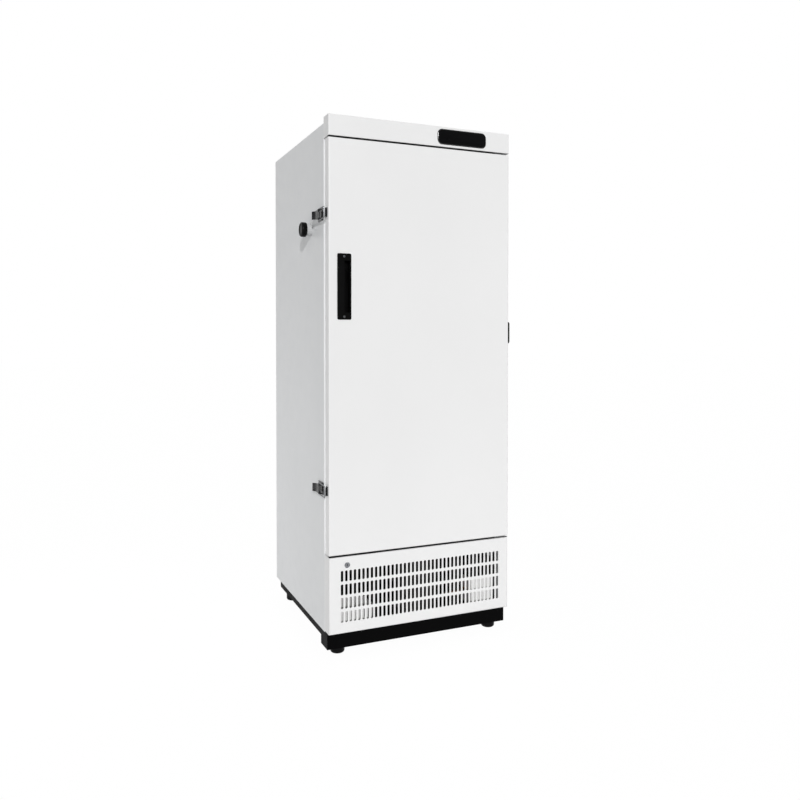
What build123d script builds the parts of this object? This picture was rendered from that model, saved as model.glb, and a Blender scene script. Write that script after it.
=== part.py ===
"""Upright laboratory freezer: door, header with display, slotted front grille, side port, draw latches.

Millimetres. The front faces -Y, +X is to the right and +Z is up. The floor is Z = 0, and the origin lies
under the middle of the whole object.
"""
from build123d import *
from math import cos, pi, radians, sin, sqrt, tan
import os

os.makedirs("parts", exist_ok=True)

# Driving sizes of the cabinet
cabinet_width = 700.0
cabinet_depth = 659.0
door_thickness = 36.0
gasket_depth = 17.0
handle_proud = 3.0
side_reach = 41.0
foot_clearance = 25.0
kick_height = 60.0
grille_height = 264.0
door_height = 1415.0
door_gap = 5.0
header_height = 72.0
header_rise = 21.0
sheet = 1.5
panel_flange = 20.0
panel_corner = 3.0
seat_gap = 0.3
turned_sides = 24
small_sides = 12
wire_sides = 8
tube_sides = 6
nut_sides = 6

# Insulated chamber
side_wall = 70.0
back_wall = 85.0
floor_wall = 65.0
ceiling_wall = 116.0
mouth_corner = 14.0
rear_recess = 12.0
rail_height = 44.0

# Evaporator shelves, their standards and the suction riser
shelf_count = 5
shelf_setback = 45.0
shelf_rear_gap = 18.0
shelf_side_gap = 1.5
shelf_tube = 9.0
shelf_rail = 4.0
shelf_runs = 8
shelf_wires = 5
wire_size = 3.0
standard_width = 20.0
standard_thickness = 4.0
standard_end_gap = 25.0
standard_inset = 60.0
clip_reach = 10.0
clip_height = 6.0
riser_radius = 5.0
riser_inset = 30.0
riser_wall_gap = 3.0
riser_rise = 30.0
clamp_lift = 15.0
clamp_height = 9.0

# Door and its hinge
door_corner = 4.0
liner_thickness = 2.5
plug_gap = 12.0
plug_reach = 26.0
plug_corner = 12.0
gasket_inset = 4.0
gasket_hinge_inset = 22.0
gasket_band = 18.0
gasket_slope = 6.0
gasket_corner = 8.0
hinge_inset = 20.0
pin_radius = 5.0
pin_length = 20.0
pin_fit = 0.05
bush_radius = 9.0
bush_length = 24.0
bracket_thickness = 2.5
bracket_width = 48.0
bracket_drop = 28.0
bracket_round = 8.0

# Handle
handle_width = 50.0
handle_height = 224.0
handle_edge = 30.0
handle_level = 1268.0
handle_corner = 4.0
handle_depth = 24.0
handle_lip = 2.5
handle_wall = 2.5
pocket_width = 20.0
pocket_end = 24.0
grip_depth = 6.0
grip_reach = 14.0
screw_inset = 10.0
screw_head = 4.0
screw_height = 1.6
screw_fit = 0.2

# Header and display
header_corner = 3.0
display_width = 196.0
display_height = 55.0
display_edge = 98.0
display_corner = 14.0
display_proud = 2.5
display_rim = 4.0
display_lap = 10.0
display_body = 18.0
window_depth = 2.0
window_thickness = 1.5
window_fit = 0.2
board_thickness = 2.0
board_margin = 4.0
chip_width = 16.0
chip_height = 12.0
chip_spacing = 49.0

# Grille panel and its lock
slot_margin = 40.0
slot_rows = 4
slot_pitch = 15.6
slot_row_pitch = 46.6
slot_width = 7.8
slot_height = 36.0
slot_top_margin = 49.0
slot_corner = 2.3
grille_corner = 6.0
grille_gap = 0.5
grille_relief_width = 60.0
grille_relief = 5.5
grille_pin_inset = 14.0
grille_pin_setback = 34.0
grille_pin_radius = 3.0
boss_radius = 6.0
boss_height = 8.0
lock_edge = 64.0
lock_drop = 30.0
lock_face = 10.0
lock_body = 8.5
lock_plug = 6.0
lock_length = 22.0
lock_proud = 2.0
lock_bevel = 0.7
lock_recess = 0.4
tongue_length = 24.0
tongue_width = 11.0
tongue_thickness = 2.0
tongue_gap = 0.5
strike_width = 20.0
strike_drop = 3.5
strike_lip = 12.0

# Base and feet
kick_setback = 28.0
kick_depth = 70.0
rail_drop = 29.0
rail_width = 30.0
rail_end_gap = 62.0
rail_round = 8.0
rear_member_gap = 37.0
base_sheet = 2.5
panel_overlap = 5.0
foot_radius = 25.0
foot_height = 24.0
foot_round = 11.0
foot_edge = 50.0
foot_stem = 5.0
stem_length = 18.0
stem_fit = 0.08
nut_radius = 9.0
nut_height = 8.0

# Machine compartment
tray_side_gap = 8.0
tray_front_gap = 4.0
tray_lip = 12.0
compressor_edge = 230.0
compressor_back = 194.0
compressor_radius = 76.0
compressor_height = 165.0
compressor_round = 22.0
compressor_crown = 34.0
seam_width = 3.0
seam_height = 5.0
stub_radius = 6.0
stub_reach = 14.0
plate_length = 190.0
plate_width = 120.0
plate_thickness = 3.0
grommet_radius = 10.0
grommet_height = 14.0
grommet_inset = 14.0
condenser_gap = 30.0
condenser_height = 190.0
condenser_depth = 42.0
condenser_lift = 26.0
condenser_setback = 40.0
fin_pitch = 14.0
fin_thickness = 2.4
spine_thickness = 5.0
fan_radius = 82.0
fan_clearance = 4.0
fan_hub = 20.0
fan_depth = 20.0
fan_blade_count = 5
blade_thickness = 2.0
blade_root = 30.0
blade_tip = 50.0
blade_pitch = 27.0
shroud_depth = 30.0
shroud_collar = 22.5
shroud_wall = 2.0
motor_radius = 30.0
motor_length = 46.0
motor_gap = 3.0
motor_shaft = 3.0
arm_width = 8.0
arm_thickness = 3.0
arm_angle = 45.0
pan_width = 150.0
pan_depth = 110.0
pan_height = 58.0
pan_edge = 40.0
pan_wall = 2.0
pan_corner = 8.0
pan_draft = 4.0
control_width = 96.0
control_depth = 70.0
control_height = 171.0
control_edge = 24.0
control_setback = 12.0
control_lid = 3.0
control_corner = 3.0
drier_radius = 10.0
drier_length = 60.0
drier_inset = 30.0
drier_rise = 54.0
drier_setback = 22.0
pipe_radius = 4.0
pipe_bend = 12.0

# Latches on the left side
latch_levels = {"upper": 1518.0, "lower": 573.0}
latch_sheet = 1.5
latch_plate_length = 56.0
latch_plate_height = 44.0
latch_setback = 6.0
pivot_out = 11.0
pivot_back = 14.0
ear_gap = 0.5
ear_radius = 6.5
latch_pin = 2.0
lever_half = 14.0
lever_sheet = 1.2
lever_web = 17.0
lever_floor = 6.5
lever_length = 48.0
lever_channel = 29.0
lever_bend = 34.5
lever_tip = 41.5
lever_nose = 5.5
lever_heel = 3.5
lever_curl = 24.0
bail_back = 16.0
bail_out = 10.0
bail_wire = 1.75
bail_half = 19.0
bail_stub = 10.0
bail_reach = 70.5
bail_rise = 2.2
keeper_height = 32.0
keeper_width = 15.0
keeper_reach = 8.0

# Port in the left wall
port_level = 1480.0
port_setback = 198.0
port_collar = 20.5
port_bore = 15.0
port_reach = 21.0
stopper_radius = 26.0
stopper_plug = 34.0
stopper_fit = 0.4
stopper_round = 5.0

# Box on the right side
terminal_height = 82.0
terminal_length = 90.0
terminal_level = 1071.0
terminal_setback = 2.0
terminal_round = 8.0
terminal_wall = 2.5

# Back of the cabinet
bead_width = 14.0
bead_height = 3.0
bead_spacing = 220.0
bead_end_gap = 90.0
bead_taper = 30.0
louvre_rows = 13
louvre_columns = 2
louvre_width = 160.0
louvre_height = 7.0
louvre_pitch = 16.0
louvre_column_pitch = 200.0
louvre_offset = -70.0
inlet_edge = 110.0
inlet_drop = 70.0
inlet_width = 48.0
inlet_height = 28.0
inlet_proud = 4.0
inlet_body = 20.0
inlet_lap = 4.0
inlet_wall = 3.0
inlet_cavity = 14.0
inlet_pin = 1.2
inlet_pin_spacing = 10.0
inlet_pin_offset = 2.5
bracket_screw_step = 6.0

# Planes and levels that follow from the sizes above
half_width = cabinet_width / 2
inner_half = half_width - sheet
total_depth = handle_proud + door_thickness + gasket_depth + cabinet_depth
y_front = -total_depth / 2
y_face = y_front + handle_proud
y_door_back = y_face + door_thickness
y_cab = y_door_back + gasket_depth
y_back = total_depth / 2
y_skin = y_back - rear_recess - sheet
z_body = foot_clearance + kick_height
z_base = z_body - grille_gap
z_side = z_body - panel_overlap
z_grille = z_body + grille_height
z_door = z_grille + door_gap
z_door_top = z_door + door_height
z_header = z_door_top + door_gap
z_top = z_header + header_height
z_cab_top = z_top - header_rise
mouth_half = half_width - side_wall
z_mouth = z_grille + floor_wall
z_mouth_top = z_cab_top - ceiling_wall
y_liner = y_cab + sheet
y_liner_back = y_back - back_wall
cabinet_middle = (y_cab + y_back) / 2
mouth_centre = (0, (z_mouth + z_mouth_top) / 2)
door_centre = (0, (z_door + z_door_top) / 2)
z_tray = z_base + sheet


def keep(piece, name):
    """Labels a finished piece and writes its file."""
    piece.part.label = name
    export_step(piece.part, f"parts/{name}.step")


def block(xs, ys, zs, mode=Mode.ADD):
    """A box that spans three pairs of limits."""
    with Locations((sum(xs) / 2, sum(ys) / 2, sum(zs) / 2)):
        Box(abs(xs[1] - xs[0]), abs(ys[1] - ys[0]), abs(zs[1] - zs[0]), mode=mode)


def panel(centre, size, corner, y_start, depth, mode=Mode.ADD):
    """A plate with rounded corners as seen from the front, from y_start back over its depth."""
    with BuildSketch(Plane.XZ.offset(-y_start)) as outline:
        with Locations(centre):
            RectangleRounded(size[0], size[1], corner)
    extrude(outline.sketch, amount=-depth, mode=mode)


def bar(start, direction, radius, length, sides=0, mode=Mode.ADD):
    """A round bar, or one with flat sides, which a cut keeps clear of its radius."""
    upright = abs(direction[2]) > 0.5
    across = (1, 0, 0) if upright else (-direction[1], direction[0], 0)
    with BuildSketch(Plane(start, x_dir=across, z_dir=direction)) as section:
        if sides:
            RegularPolygon(radius, sides, major_radius=mode == Mode.ADD)
        else:
            Circle(radius)
    extrude(section.sketch, amount=length, mode=mode)


def rounding(radius, corner):
    """Distance and radius of the points of a rounded edge, from the end face to the side."""
    return [(corner * (1 - cos(turn)), radius - corner * (1 - sin(turn))) for turn in (0, pi / 4, pi / 2)]


def skinned(rings, mode=Mode.ADD):
    """A solid with flat faces, whose sides join each ring of points to the next."""
    outlines = [rings[0], rings[-1]]
    for ring, following in zip(rings, rings[1:]):
        for i in range(len(ring)):
            outlines.append([ring[i - 1], ring[i], following[i], following[i - 1]])
    faces = [Face(Wire.make_polygon(points)) for points in outlines]
    add(Solid(Shell(faces)), mode=mode)


def turned(start, direction, profile):
    """A turned shape with flat sides, through pairs of distance along its axis and radius."""
    across = (1, 0, 0) if abs(direction[2]) > 0.5 else (-direction[1], direction[0], 0)
    section = Plane(start, x_dir=across, z_dir=direction)
    turns = [2 * pi * i / turned_sides for i in range(turned_sides)]
    skinned([
        [section.from_local_coords((radius * cos(turn), radius * sin(turn), distance)) for turn in turns]
        for distance, radius in profile
    ])


# Side panels: a C in plan, with rounded outer corners and a flange at the front and back
port_y = y_face + port_setback
for side, name in ((-1, "left_side_panel"), (1, "right_side_panel")):
    with BuildPart() as side_panel:
        with BuildSketch(Plane.XY.offset(z_side)) as plan:
            with Locations((side * (half_width - panel_flange / 2), cabinet_middle)):
                Rectangle(panel_flange, cabinet_depth)
            fillet(plan.vertices().group_by(Axis.X)[0 if side < 0 else -1], panel_corner)
            with Locations((side * (inner_half - panel_flange / 2), cabinet_middle)):
                Rectangle(panel_flange, cabinet_depth - 2 * sheet, mode=Mode.SUBTRACT)
        extrude(amount=z_cab_top - z_side)
        flange = (side * inner_half, side * (half_width - panel_flange - sheet))
        block(flange, (y_cab, y_back), (z_side, z_base), Mode.SUBTRACT)
        if side < 0:
            port_cut = (-half_width - sheet, port_y, port_level)
            bar(port_cut, (1, 0, 0), port_collar, 3 * sheet, turned_sides, Mode.SUBTRACT)
    keep(side_panel, name)

# Cabinet top: a plate turned down at the front and back, between the side panels
with BuildPart() as top_panel:
    with BuildSketch(Plane.YZ.offset(-inner_half)):
        with BuildLine():
            Polyline(
                (y_cab + sheet, z_cab_top),
                (y_back - sheet, z_cab_top),
                (y_back - sheet, z_cab_top - panel_flange),
                (y_back - 2 * sheet, z_cab_top - panel_flange),
                (y_back - 2 * sheet, z_cab_top - sheet),
                (y_cab + 2 * sheet, z_cab_top - sheet),
                (y_cab + 2 * sheet, z_cab_top - panel_flange),
                (y_cab + sheet, z_cab_top - panel_flange),
                close=True,
            )
        make_face()
    extrude(amount=2 * inner_half)
keep(top_panel, "top_panel")

# Front frame: the flat ring round the chamber's mouth, with the strike that the grille's lock turns behind
z_rail = z_grille - rail_height
lock_x = -half_width + lock_edge
lock_z = z_grille - lock_drop
y_tongue = y_face + lock_length + tongue_gap
y_strike = y_tongue - tongue_gap
strike_top = z_grille - strike_drop
with BuildPart() as front_frame:
    frame_half = half_width - panel_flange
    block((-frame_half, frame_half), (y_cab, y_cab + sheet), (z_rail, z_cab_top))
    panel(mouth_centre, (2 * mouth_half, z_mouth_top - z_mouth), mouth_corner, y_cab, sheet, Mode.SUBTRACT)
    strike = (lock_x - strike_width / 2, lock_x + strike_width / 2)
    block(strike, (y_strike - sheet, y_cab), (strike_top - sheet, strike_top))
    block(strike, (y_strike - sheet, y_strike), (strike_top - strike_lip, strike_top))
keep(front_frame, "front_frame")

# Insulation: fills the walls between the outer panels and the liner
outer_mouth = (2 * (mouth_half + sheet), z_mouth_top - z_mouth + 2 * sheet)
with BuildPart() as insulation:
    block((-inner_half, inner_half), (y_liner, y_skin), (z_grille, z_cab_top - sheet))
    tub_depth = y_liner_back + sheet - y_liner
    panel(mouth_centre, outer_mouth, mouth_corner + sheet, y_liner, tub_depth, Mode.SUBTRACT)
    lip = (z_cab_top - panel_flange, z_cab_top)
    block((-inner_half, inner_half), (y_liner, y_liner + sheet), lip, Mode.SUBTRACT)
    bar((-inner_half, port_y, port_level), (1, 0, 0), port_collar, side_wall, turned_sides, Mode.SUBTRACT)
keep(insulation, "insulation")

# Inner liner: an open tub with rounded corners
with BuildPart() as inner_liner:
    panel(mouth_centre, outer_mouth, mouth_corner + sheet, y_liner, tub_depth)
    mouth = (2 * mouth_half, z_mouth_top - z_mouth)
    panel(mouth_centre, mouth, mouth_corner, y_liner, y_liner_back - y_liner, Mode.SUBTRACT)
    port_cut = (-mouth_half - 2 * sheet, port_y, port_level)
    bar(port_cut, (1, 0, 0), port_collar, 4 * sheet, turned_sides, Mode.SUBTRACT)
keep(inner_liner, "inner_liner")

# Shelf levels, evenly spaced over the chamber's height
shelf_pitch = (z_mouth_top - z_mouth) / (shelf_count + 1)
shelf_levels = [z_mouth + shelf_pitch * (i + 1) for i in range(shelf_count)]
shelf_half = mouth_half - standard_thickness - shelf_side_gap
y_shelf = y_cab + shelf_setback
y_shelf_back = y_liner_back - shelf_rear_gap

# Shelf standards: four upright strips with a clip under each shelf
with BuildPart() as shelf_standards:
    for side in (-1, 1):
        for y in (y_shelf + standard_inset, y_shelf_back - standard_inset):
            strip = (side * mouth_half, side * (mouth_half - standard_thickness))
            span = (z_mouth + standard_end_gap, z_mouth_top - standard_end_gap)
            block(strip, (y - standard_width / 2, y + standard_width / 2), span)
            for level in shelf_levels:
                clip = (strip[1], strip[1] - side * clip_reach)
                block(clip, (y - standard_width / 4, y + standard_width / 4), (level - clip_height, level))
keep(shelf_standards, "shelf_standards")

# Evaporator shelves: a tube that runs to and fro between two side rails, with wires laid across it
hexagon_flat = cos(radians(30))
run_pitch = (y_shelf_back - y_shelf - shelf_tube) / (shelf_runs - 1)
wire_pitch = 2 * (shelf_half - 3 * shelf_tube) / (shelf_wires - 1)
tube_rise = shelf_tube / 2 * hexagon_flat
riser_x = mouth_half - riser_inset
riser_y = y_liner_back - riser_radius - riser_wall_gap
for number, level in enumerate(shelf_levels, start=1):
    with BuildPart() as shelf:
        tube_z = level + tube_rise
        for side in (-1, 1):
            rail = (side * shelf_half, side * (shelf_half - shelf_rail))
            block(rail, (y_shelf, y_shelf_back), (level, level + 2 * tube_rise))
        for run in range(shelf_runs):
            y = y_shelf + shelf_tube / 2 + run * run_pitch
            tube_half = shelf_half - shelf_rail / 2
            bar((-tube_half, y, tube_z), (1, 0, 0), shelf_tube / 2, 2 * tube_half, sides=tube_sides)
            link_x = (shelf_half - shelf_tube - shelf_rail) * (1 if run % 2 == 0 else -1)
            if run + 1 < shelf_runs:
                bar((link_x, y, tube_z), (0, 1, 0), shelf_tube / 2, run_pitch, sides=tube_sides)
        outlet = riser_y - riser_radius - seat_gap - y
        bar((riser_x, y, tube_z), (0, 1, 0), shelf_tube / 2, outlet, sides=tube_sides)
        for wire in range(shelf_wires):
            x = -shelf_half + 3 * shelf_tube + wire * wire_pitch
            wire_x = (x - wire_size / 2, x + wire_size / 2)
            wire_z = level + 2 * tube_rise
            block(wire_x, (y_shelf, y_shelf_back), (wire_z, wire_z + wire_size))
    keep(shelf, f"evaporator_shelf_{number}")

# Suction riser: an upright tube behind the shelves, held to the liner's back beside each one
with BuildPart() as suction_riser:
    riser_length = shelf_levels[-1] + riser_rise - z_mouth
    bar((riser_x, riser_y, z_mouth), (0, 0, 1), riser_radius, riser_length, sides=wire_sides)
    for level in shelf_levels:
        clamp = (riser_x - riser_radius / 2, riser_x + riser_radius / 2)
        clamp_z = level + clamp_lift
        block(clamp, (riser_y, y_liner_back), (clamp_z, clamp_z + clamp_height))
keep(suction_riser, "suction_riser")

# Header fascia: a pan with rounded front edges, open at the back except above the cabinet's top
display_x = half_width - display_edge - display_width / 2
display_middle = (display_x, (z_header + z_top) / 2)
display_cut = (display_width - 2 * display_lap, display_height - 2 * display_lap)
display_cut_corner = display_corner - display_lap
with BuildPart() as header_fascia:
    block((-half_width, half_width), (y_face, y_cab), (z_header, z_top))
    fillet(header_fascia.faces().sort_by(Axis.Y)[0].edges(), header_corner)
    inside = (z_header + sheet, z_top - sheet)
    block((-inner_half, inner_half), (y_face + sheet, y_cab - sheet), inside, Mode.SUBTRACT)
    open_back = (z_header + sheet, z_cab_top - panel_flange)
    block((-inner_half, inner_half), (y_cab - sheet, y_cab), open_back, Mode.SUBTRACT)
    notch = (inner_half - bracket_width - sheet, inner_half)
    block(notch, (y_cab - 2 * bracket_thickness, y_cab), (z_header, z_header + sheet), Mode.SUBTRACT)
    panel(display_middle, display_cut, display_cut_corner, y_face, 2 * sheet, Mode.SUBTRACT)
keep(header_fascia, "header_fascia")

# Display: a bezel that stands proud of the header, a dark window set into its rim and the board behind
window_size = (display_width - 2 * display_rim, display_height - 2 * display_rim)
window_corner = display_corner - display_rim
y_bezel = y_face - display_proud
with BuildPart() as display_bezel:
    panel(display_middle, (display_width, display_height), display_corner, y_bezel, display_proud)
    chamfer(display_bezel.faces().sort_by(Axis.Y)[0].edges(), display_proud / 2)
    panel(display_middle, display_cut, display_cut_corner, y_face, display_body)
    panel(display_middle, window_size, window_corner, y_bezel, window_depth, Mode.SUBTRACT)
    throat = (display_cut[0] - 2 * display_rim, display_cut[1] - 2 * display_rim)
    bezel_depth = display_proud + display_body
    panel(display_middle, throat, display_cut_corner / 2, y_bezel, bezel_depth, Mode.SUBTRACT)
keep(display_bezel, "display_bezel")

with BuildPart() as display_window:
    glass = (window_size[0] - 2 * window_fit, window_size[1] - 2 * window_fit)
    y_glass = y_bezel + window_depth - window_thickness
    panel(display_middle, glass, window_corner - window_fit, y_glass, window_thickness)
keep(display_window, "display_window")

with BuildPart() as control_board:
    board = (display_cut[0] + 2 * board_margin, display_cut[1] + 2 * board_margin)
    y_board = y_face + display_body
    panel(display_middle, board, board_margin, y_board, board_thickness)
    for place in (-1, 0, 1):
        chip_middle = display_x + place * chip_spacing
        chip_x = (chip_middle - chip_width / 2, chip_middle + chip_width / 2)
        chip_z = (display_middle[1] - chip_height / 2, display_middle[1] + chip_height / 2)
        block(chip_x, (y_board + board_thickness, y_board + 2 * board_thickness), chip_z)
keep(control_board, "control_board")

# Back panel: set in from the cabinet's rear edges, stiffened by two long raised beads
with BuildPart() as back_panel:
    block((-inner_half, inner_half), (y_skin, y_skin + sheet), (z_grille, z_cab_top - sheet))
    with BuildSketch(Plane.XZ.offset(-y_skin - sheet)) as beads:
        with Locations((0, (z_grille + z_cab_top) / 2)):
            with GridLocations(bead_spacing, 1, 2, 1):
                SlotOverall(z_cab_top - z_grille - 2 * bead_end_gap, bead_width, rotation=90)
    extrude(beads.sketch, amount=-bead_height, taper=bead_taper)
keep(back_panel, "back_panel")

# Rear service grille: the slotted cover over the machine compartment, with the cut-out for the power inlet
inlet_middle = (half_width - inlet_edge, z_grille - inlet_drop)
inlet_hole = (inlet_width - 2 * inlet_lap, inlet_height - 2 * inlet_lap)
with BuildPart() as rear_service_grille:
    block((-inner_half, inner_half), (y_skin, y_skin + sheet), (z_base, z_grille))
    with BuildSketch(Plane.XZ.offset(-y_skin)) as louvres:
        with Locations((louvre_offset, (z_base + z_grille) / 2)):
            with GridLocations(louvre_column_pitch, louvre_pitch, louvre_columns, louvre_rows):
                Rectangle(louvre_width, louvre_height)
    extrude(louvres.sketch, amount=-sheet, mode=Mode.SUBTRACT)
    panel(inlet_middle, inlet_hole, inlet_wall, y_skin, sheet, Mode.SUBTRACT)
keep(rear_service_grille, "rear_service_grille")

# Power inlet: a flanged socket with three flat pins, no higher than the recess it stands in
with BuildPart() as power_inlet:
    y_inlet = y_skin + sheet + inlet_proud
    panel(inlet_middle, (inlet_width, inlet_height), inlet_wall, y_skin + sheet, inlet_proud)
    panel(inlet_middle, inlet_hole, inlet_wall, y_skin + sheet - inlet_body, inlet_body)
    cavity = (inlet_hole[0] - 2 * inlet_wall, inlet_hole[1] - 2 * inlet_wall)
    panel(inlet_middle, cavity, inlet_wall / 2, y_inlet - inlet_cavity, inlet_cavity, Mode.SUBTRACT)
    for place in (-1, 0, 1):
        pin_middle = inlet_middle[0] + place * inlet_pin_spacing
        pin_level = inlet_middle[1] + inlet_pin_offset * (1 if place == 0 else -1)
        pin_x = (pin_middle - inlet_pin, pin_middle + inlet_pin)
        pin_z = (pin_level - 2 * inlet_pin, pin_level + 2 * inlet_pin)
        block(pin_x, (y_inlet - inlet_cavity, y_inlet - inlet_proud), pin_z)
keep(power_inlet, "power_inlet")

# Hinge line of the door, and of the grille panel below it
hinge_x = half_width - hinge_inset
hinge_y = y_face + hinge_inset
grille_pin_x = half_width - grille_pin_inset
grille_pin_y = y_face + grille_pin_setback
leaf_rise = (door_gap - bracket_thickness) / 2
leaf_low = z_grille + leaf_rise
leaf_high = z_door_top + leaf_rise


def hinge_bracket(leaf, upward):
    """An angle bracket: a level leaf in the door's gap and a leaf that is screwed to the cabinet's front."""
    leaf_x = (inner_half - bracket_width, inner_half - seat_gap)
    with BuildPart() as bracket:
        block(leaf_x, (hinge_y - bush_radius, y_cab), (leaf, leaf + bracket_thickness))
        fillet(bracket.edges().filter_by(Axis.Z).group_by(Axis.Y)[0], bracket_round)
        upright = (leaf, leaf + bracket_drop) if upward else (leaf + bracket_thickness - bracket_drop, leaf)
        block(leaf_x, (y_cab - bracket_thickness, y_cab), upright)
        start = leaf if upward else leaf + bracket_thickness
        bar((hinge_x, hinge_y, start), (0, 0, -1 if upward else 1), pin_radius, pin_length)
        if not upward:
            grille_pin = leaf - z_grille + sheet + boss_height
            bar((grille_pin_x, grille_pin_y, leaf), (0, 0, -1), grille_pin_radius, grille_pin)
    return bracket


keep(hinge_bracket(leaf_high, True), "upper_hinge")
keep(hinge_bracket(leaf_low, False), "lower_hinge")

# Bushes in the top and bottom of the door, round the hinge pins
with BuildPart() as hinge_bushes:
    for low in (z_door, z_door_top - bush_length):
        bar((hinge_x, hinge_y, low), (0, 0, 1), bush_radius, bush_length, small_sides)
        bar((hinge_x, hinge_y, low), (0, 0, 1), pin_radius + pin_fit, bush_length, mode=Mode.SUBTRACT)
keep(hinge_bushes, "hinge_bushes")

# Door shell: a pan with softly rounded edges, open at the back, with the handle's opening in its face
handle_x = -half_width + handle_edge + handle_width / 2
handle_middle = (handle_x, handle_level)
tub_size = (handle_width - 2 * handle_lip, handle_height - 2 * handle_lip)
with BuildPart() as door_shell:
    block((-half_width, half_width), (y_face, y_door_back), (z_door, z_door_top))
    fillet(door_shell.faces().sort_by(Axis.Y)[0].edges(), door_corner)
    offset(amount=-sheet, openings=door_shell.faces().sort_by(Axis.Y)[-1])
    panel(handle_middle, tub_size, handle_corner, y_face, 2 * sheet, Mode.SUBTRACT)
    for low in (z_door, z_door_top - bush_length):
        bar((hinge_x, hinge_y, low), (0, 0, 1), bush_radius, bush_length, small_sides, Mode.SUBTRACT)
keep(door_shell, "door_shell")

# Door foam: fills the door and the plug that enters the chamber's mouth
plug_size = (2 * (mouth_half - plug_gap), z_mouth_top - z_mouth - 2 * plug_gap)
core_size = (plug_size[0] - 2 * liner_thickness, plug_size[1] - 2 * liner_thickness)
y_plug = y_cab + plug_reach
y_door_liner = y_door_back - liner_thickness
with BuildPart() as door_foam:
    block((-inner_half, inner_half), (y_face + sheet, y_door_liner), (z_door + sheet, z_door_top - sheet))
    fillet(door_foam.faces().sort_by(Axis.Y)[0].edges(), door_corner - sheet)
    core_depth = y_plug - liner_thickness - y_door_liner
    panel(mouth_centre, core_size, plug_corner - liner_thickness, y_door_liner, core_depth)
    panel(handle_middle, tub_size, handle_corner, y_face, handle_depth, Mode.SUBTRACT)
    for low in (z_door, z_door_top - bush_length):
        bar((hinge_x, hinge_y, low), (0, 0, 1), bush_radius, bush_length, small_sides, Mode.SUBTRACT)
keep(door_foam, "door_foam")

# Door liner: the moulded inner face, flat where the gasket sits and raised into a plug
with BuildPart() as door_liner:
    block((-inner_half, inner_half), (y_door_liner, y_door_back), (z_door + sheet, z_door_top - sheet))
    panel(mouth_centre, plug_size, plug_corner, y_door_liner, y_plug - y_door_liner)
    panel(mouth_centre, core_size, plug_corner - liner_thickness, y_door_liner, core_depth, Mode.SUBTRACT)
keep(door_liner, "door_liner")

# Door gasket: a soft ring with a sloped outer edge, set in further on the hinge side
gasket_width = cabinet_width - gasket_inset - gasket_hinge_inset
gasket_height = door_height - 2 * gasket_inset
gasket_x = (gasket_inset - gasket_hinge_inset) / 2
with BuildPart() as door_gasket:
    reach = gasket_depth - seat_gap
    gasket_middle = (gasket_x, door_centre[1])
    panel(gasket_middle, (gasket_width, gasket_height), gasket_corner, y_door_back, reach)
    chamfer(door_gasket.faces().sort_by(Axis.Y)[-1].edges(), gasket_slope)
    hole = (gasket_width - 2 * gasket_band, gasket_height - 2 * gasket_band)
    panel(gasket_middle, hole, gasket_corner / 2, y_door_back, reach, Mode.SUBTRACT)
keep(door_gasket, "door_gasket")

# Door handle: a recessed tub with a proud rim, and a finger pocket that runs in behind the grip
with BuildPart() as door_handle:
    panel(handle_middle, (handle_width, handle_height), handle_corner, y_front, handle_proud)
    chamfer(door_handle.faces().sort_by(Axis.Y)[0].edges(), handle_proud / 2)
    panel(handle_middle, tub_size, handle_corner, y_face, handle_depth)
    pocket_right = handle_x + tub_size[0] / 2 - handle_wall
    pocket_z = (handle_level - handle_height / 2 + pocket_end, handle_level + handle_height / 2 - pocket_end)
    pocket_floor = y_face + handle_depth - handle_wall
    block((pocket_right - pocket_width, pocket_right), (y_front, pocket_floor), pocket_z, Mode.SUBTRACT)
    undercut = (pocket_right - pocket_width - grip_reach, pocket_right)
    block(undercut, (y_face + grip_depth, pocket_floor), pocket_z, Mode.SUBTRACT)
    for end in (-1, 1):
        head_z = handle_level + end * (handle_height / 2 - screw_inset)
        head = (handle_x, y_front, head_z)
        seat = screw_height + screw_fit
        bar(head, (0, 1, 0), screw_head + screw_fit, seat, small_sides, Mode.SUBTRACT)
keep(door_handle, "door_handle")

with BuildPart() as handle_screws:
    for end in (-1, 1):
        head_z = handle_level + end * (handle_height / 2 - screw_inset)
        bar((handle_x, y_front + screw_fit, head_z), (0, 1, 0), screw_head, screw_height, small_sides)
keep(handle_screws, "handle_screws")

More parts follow.
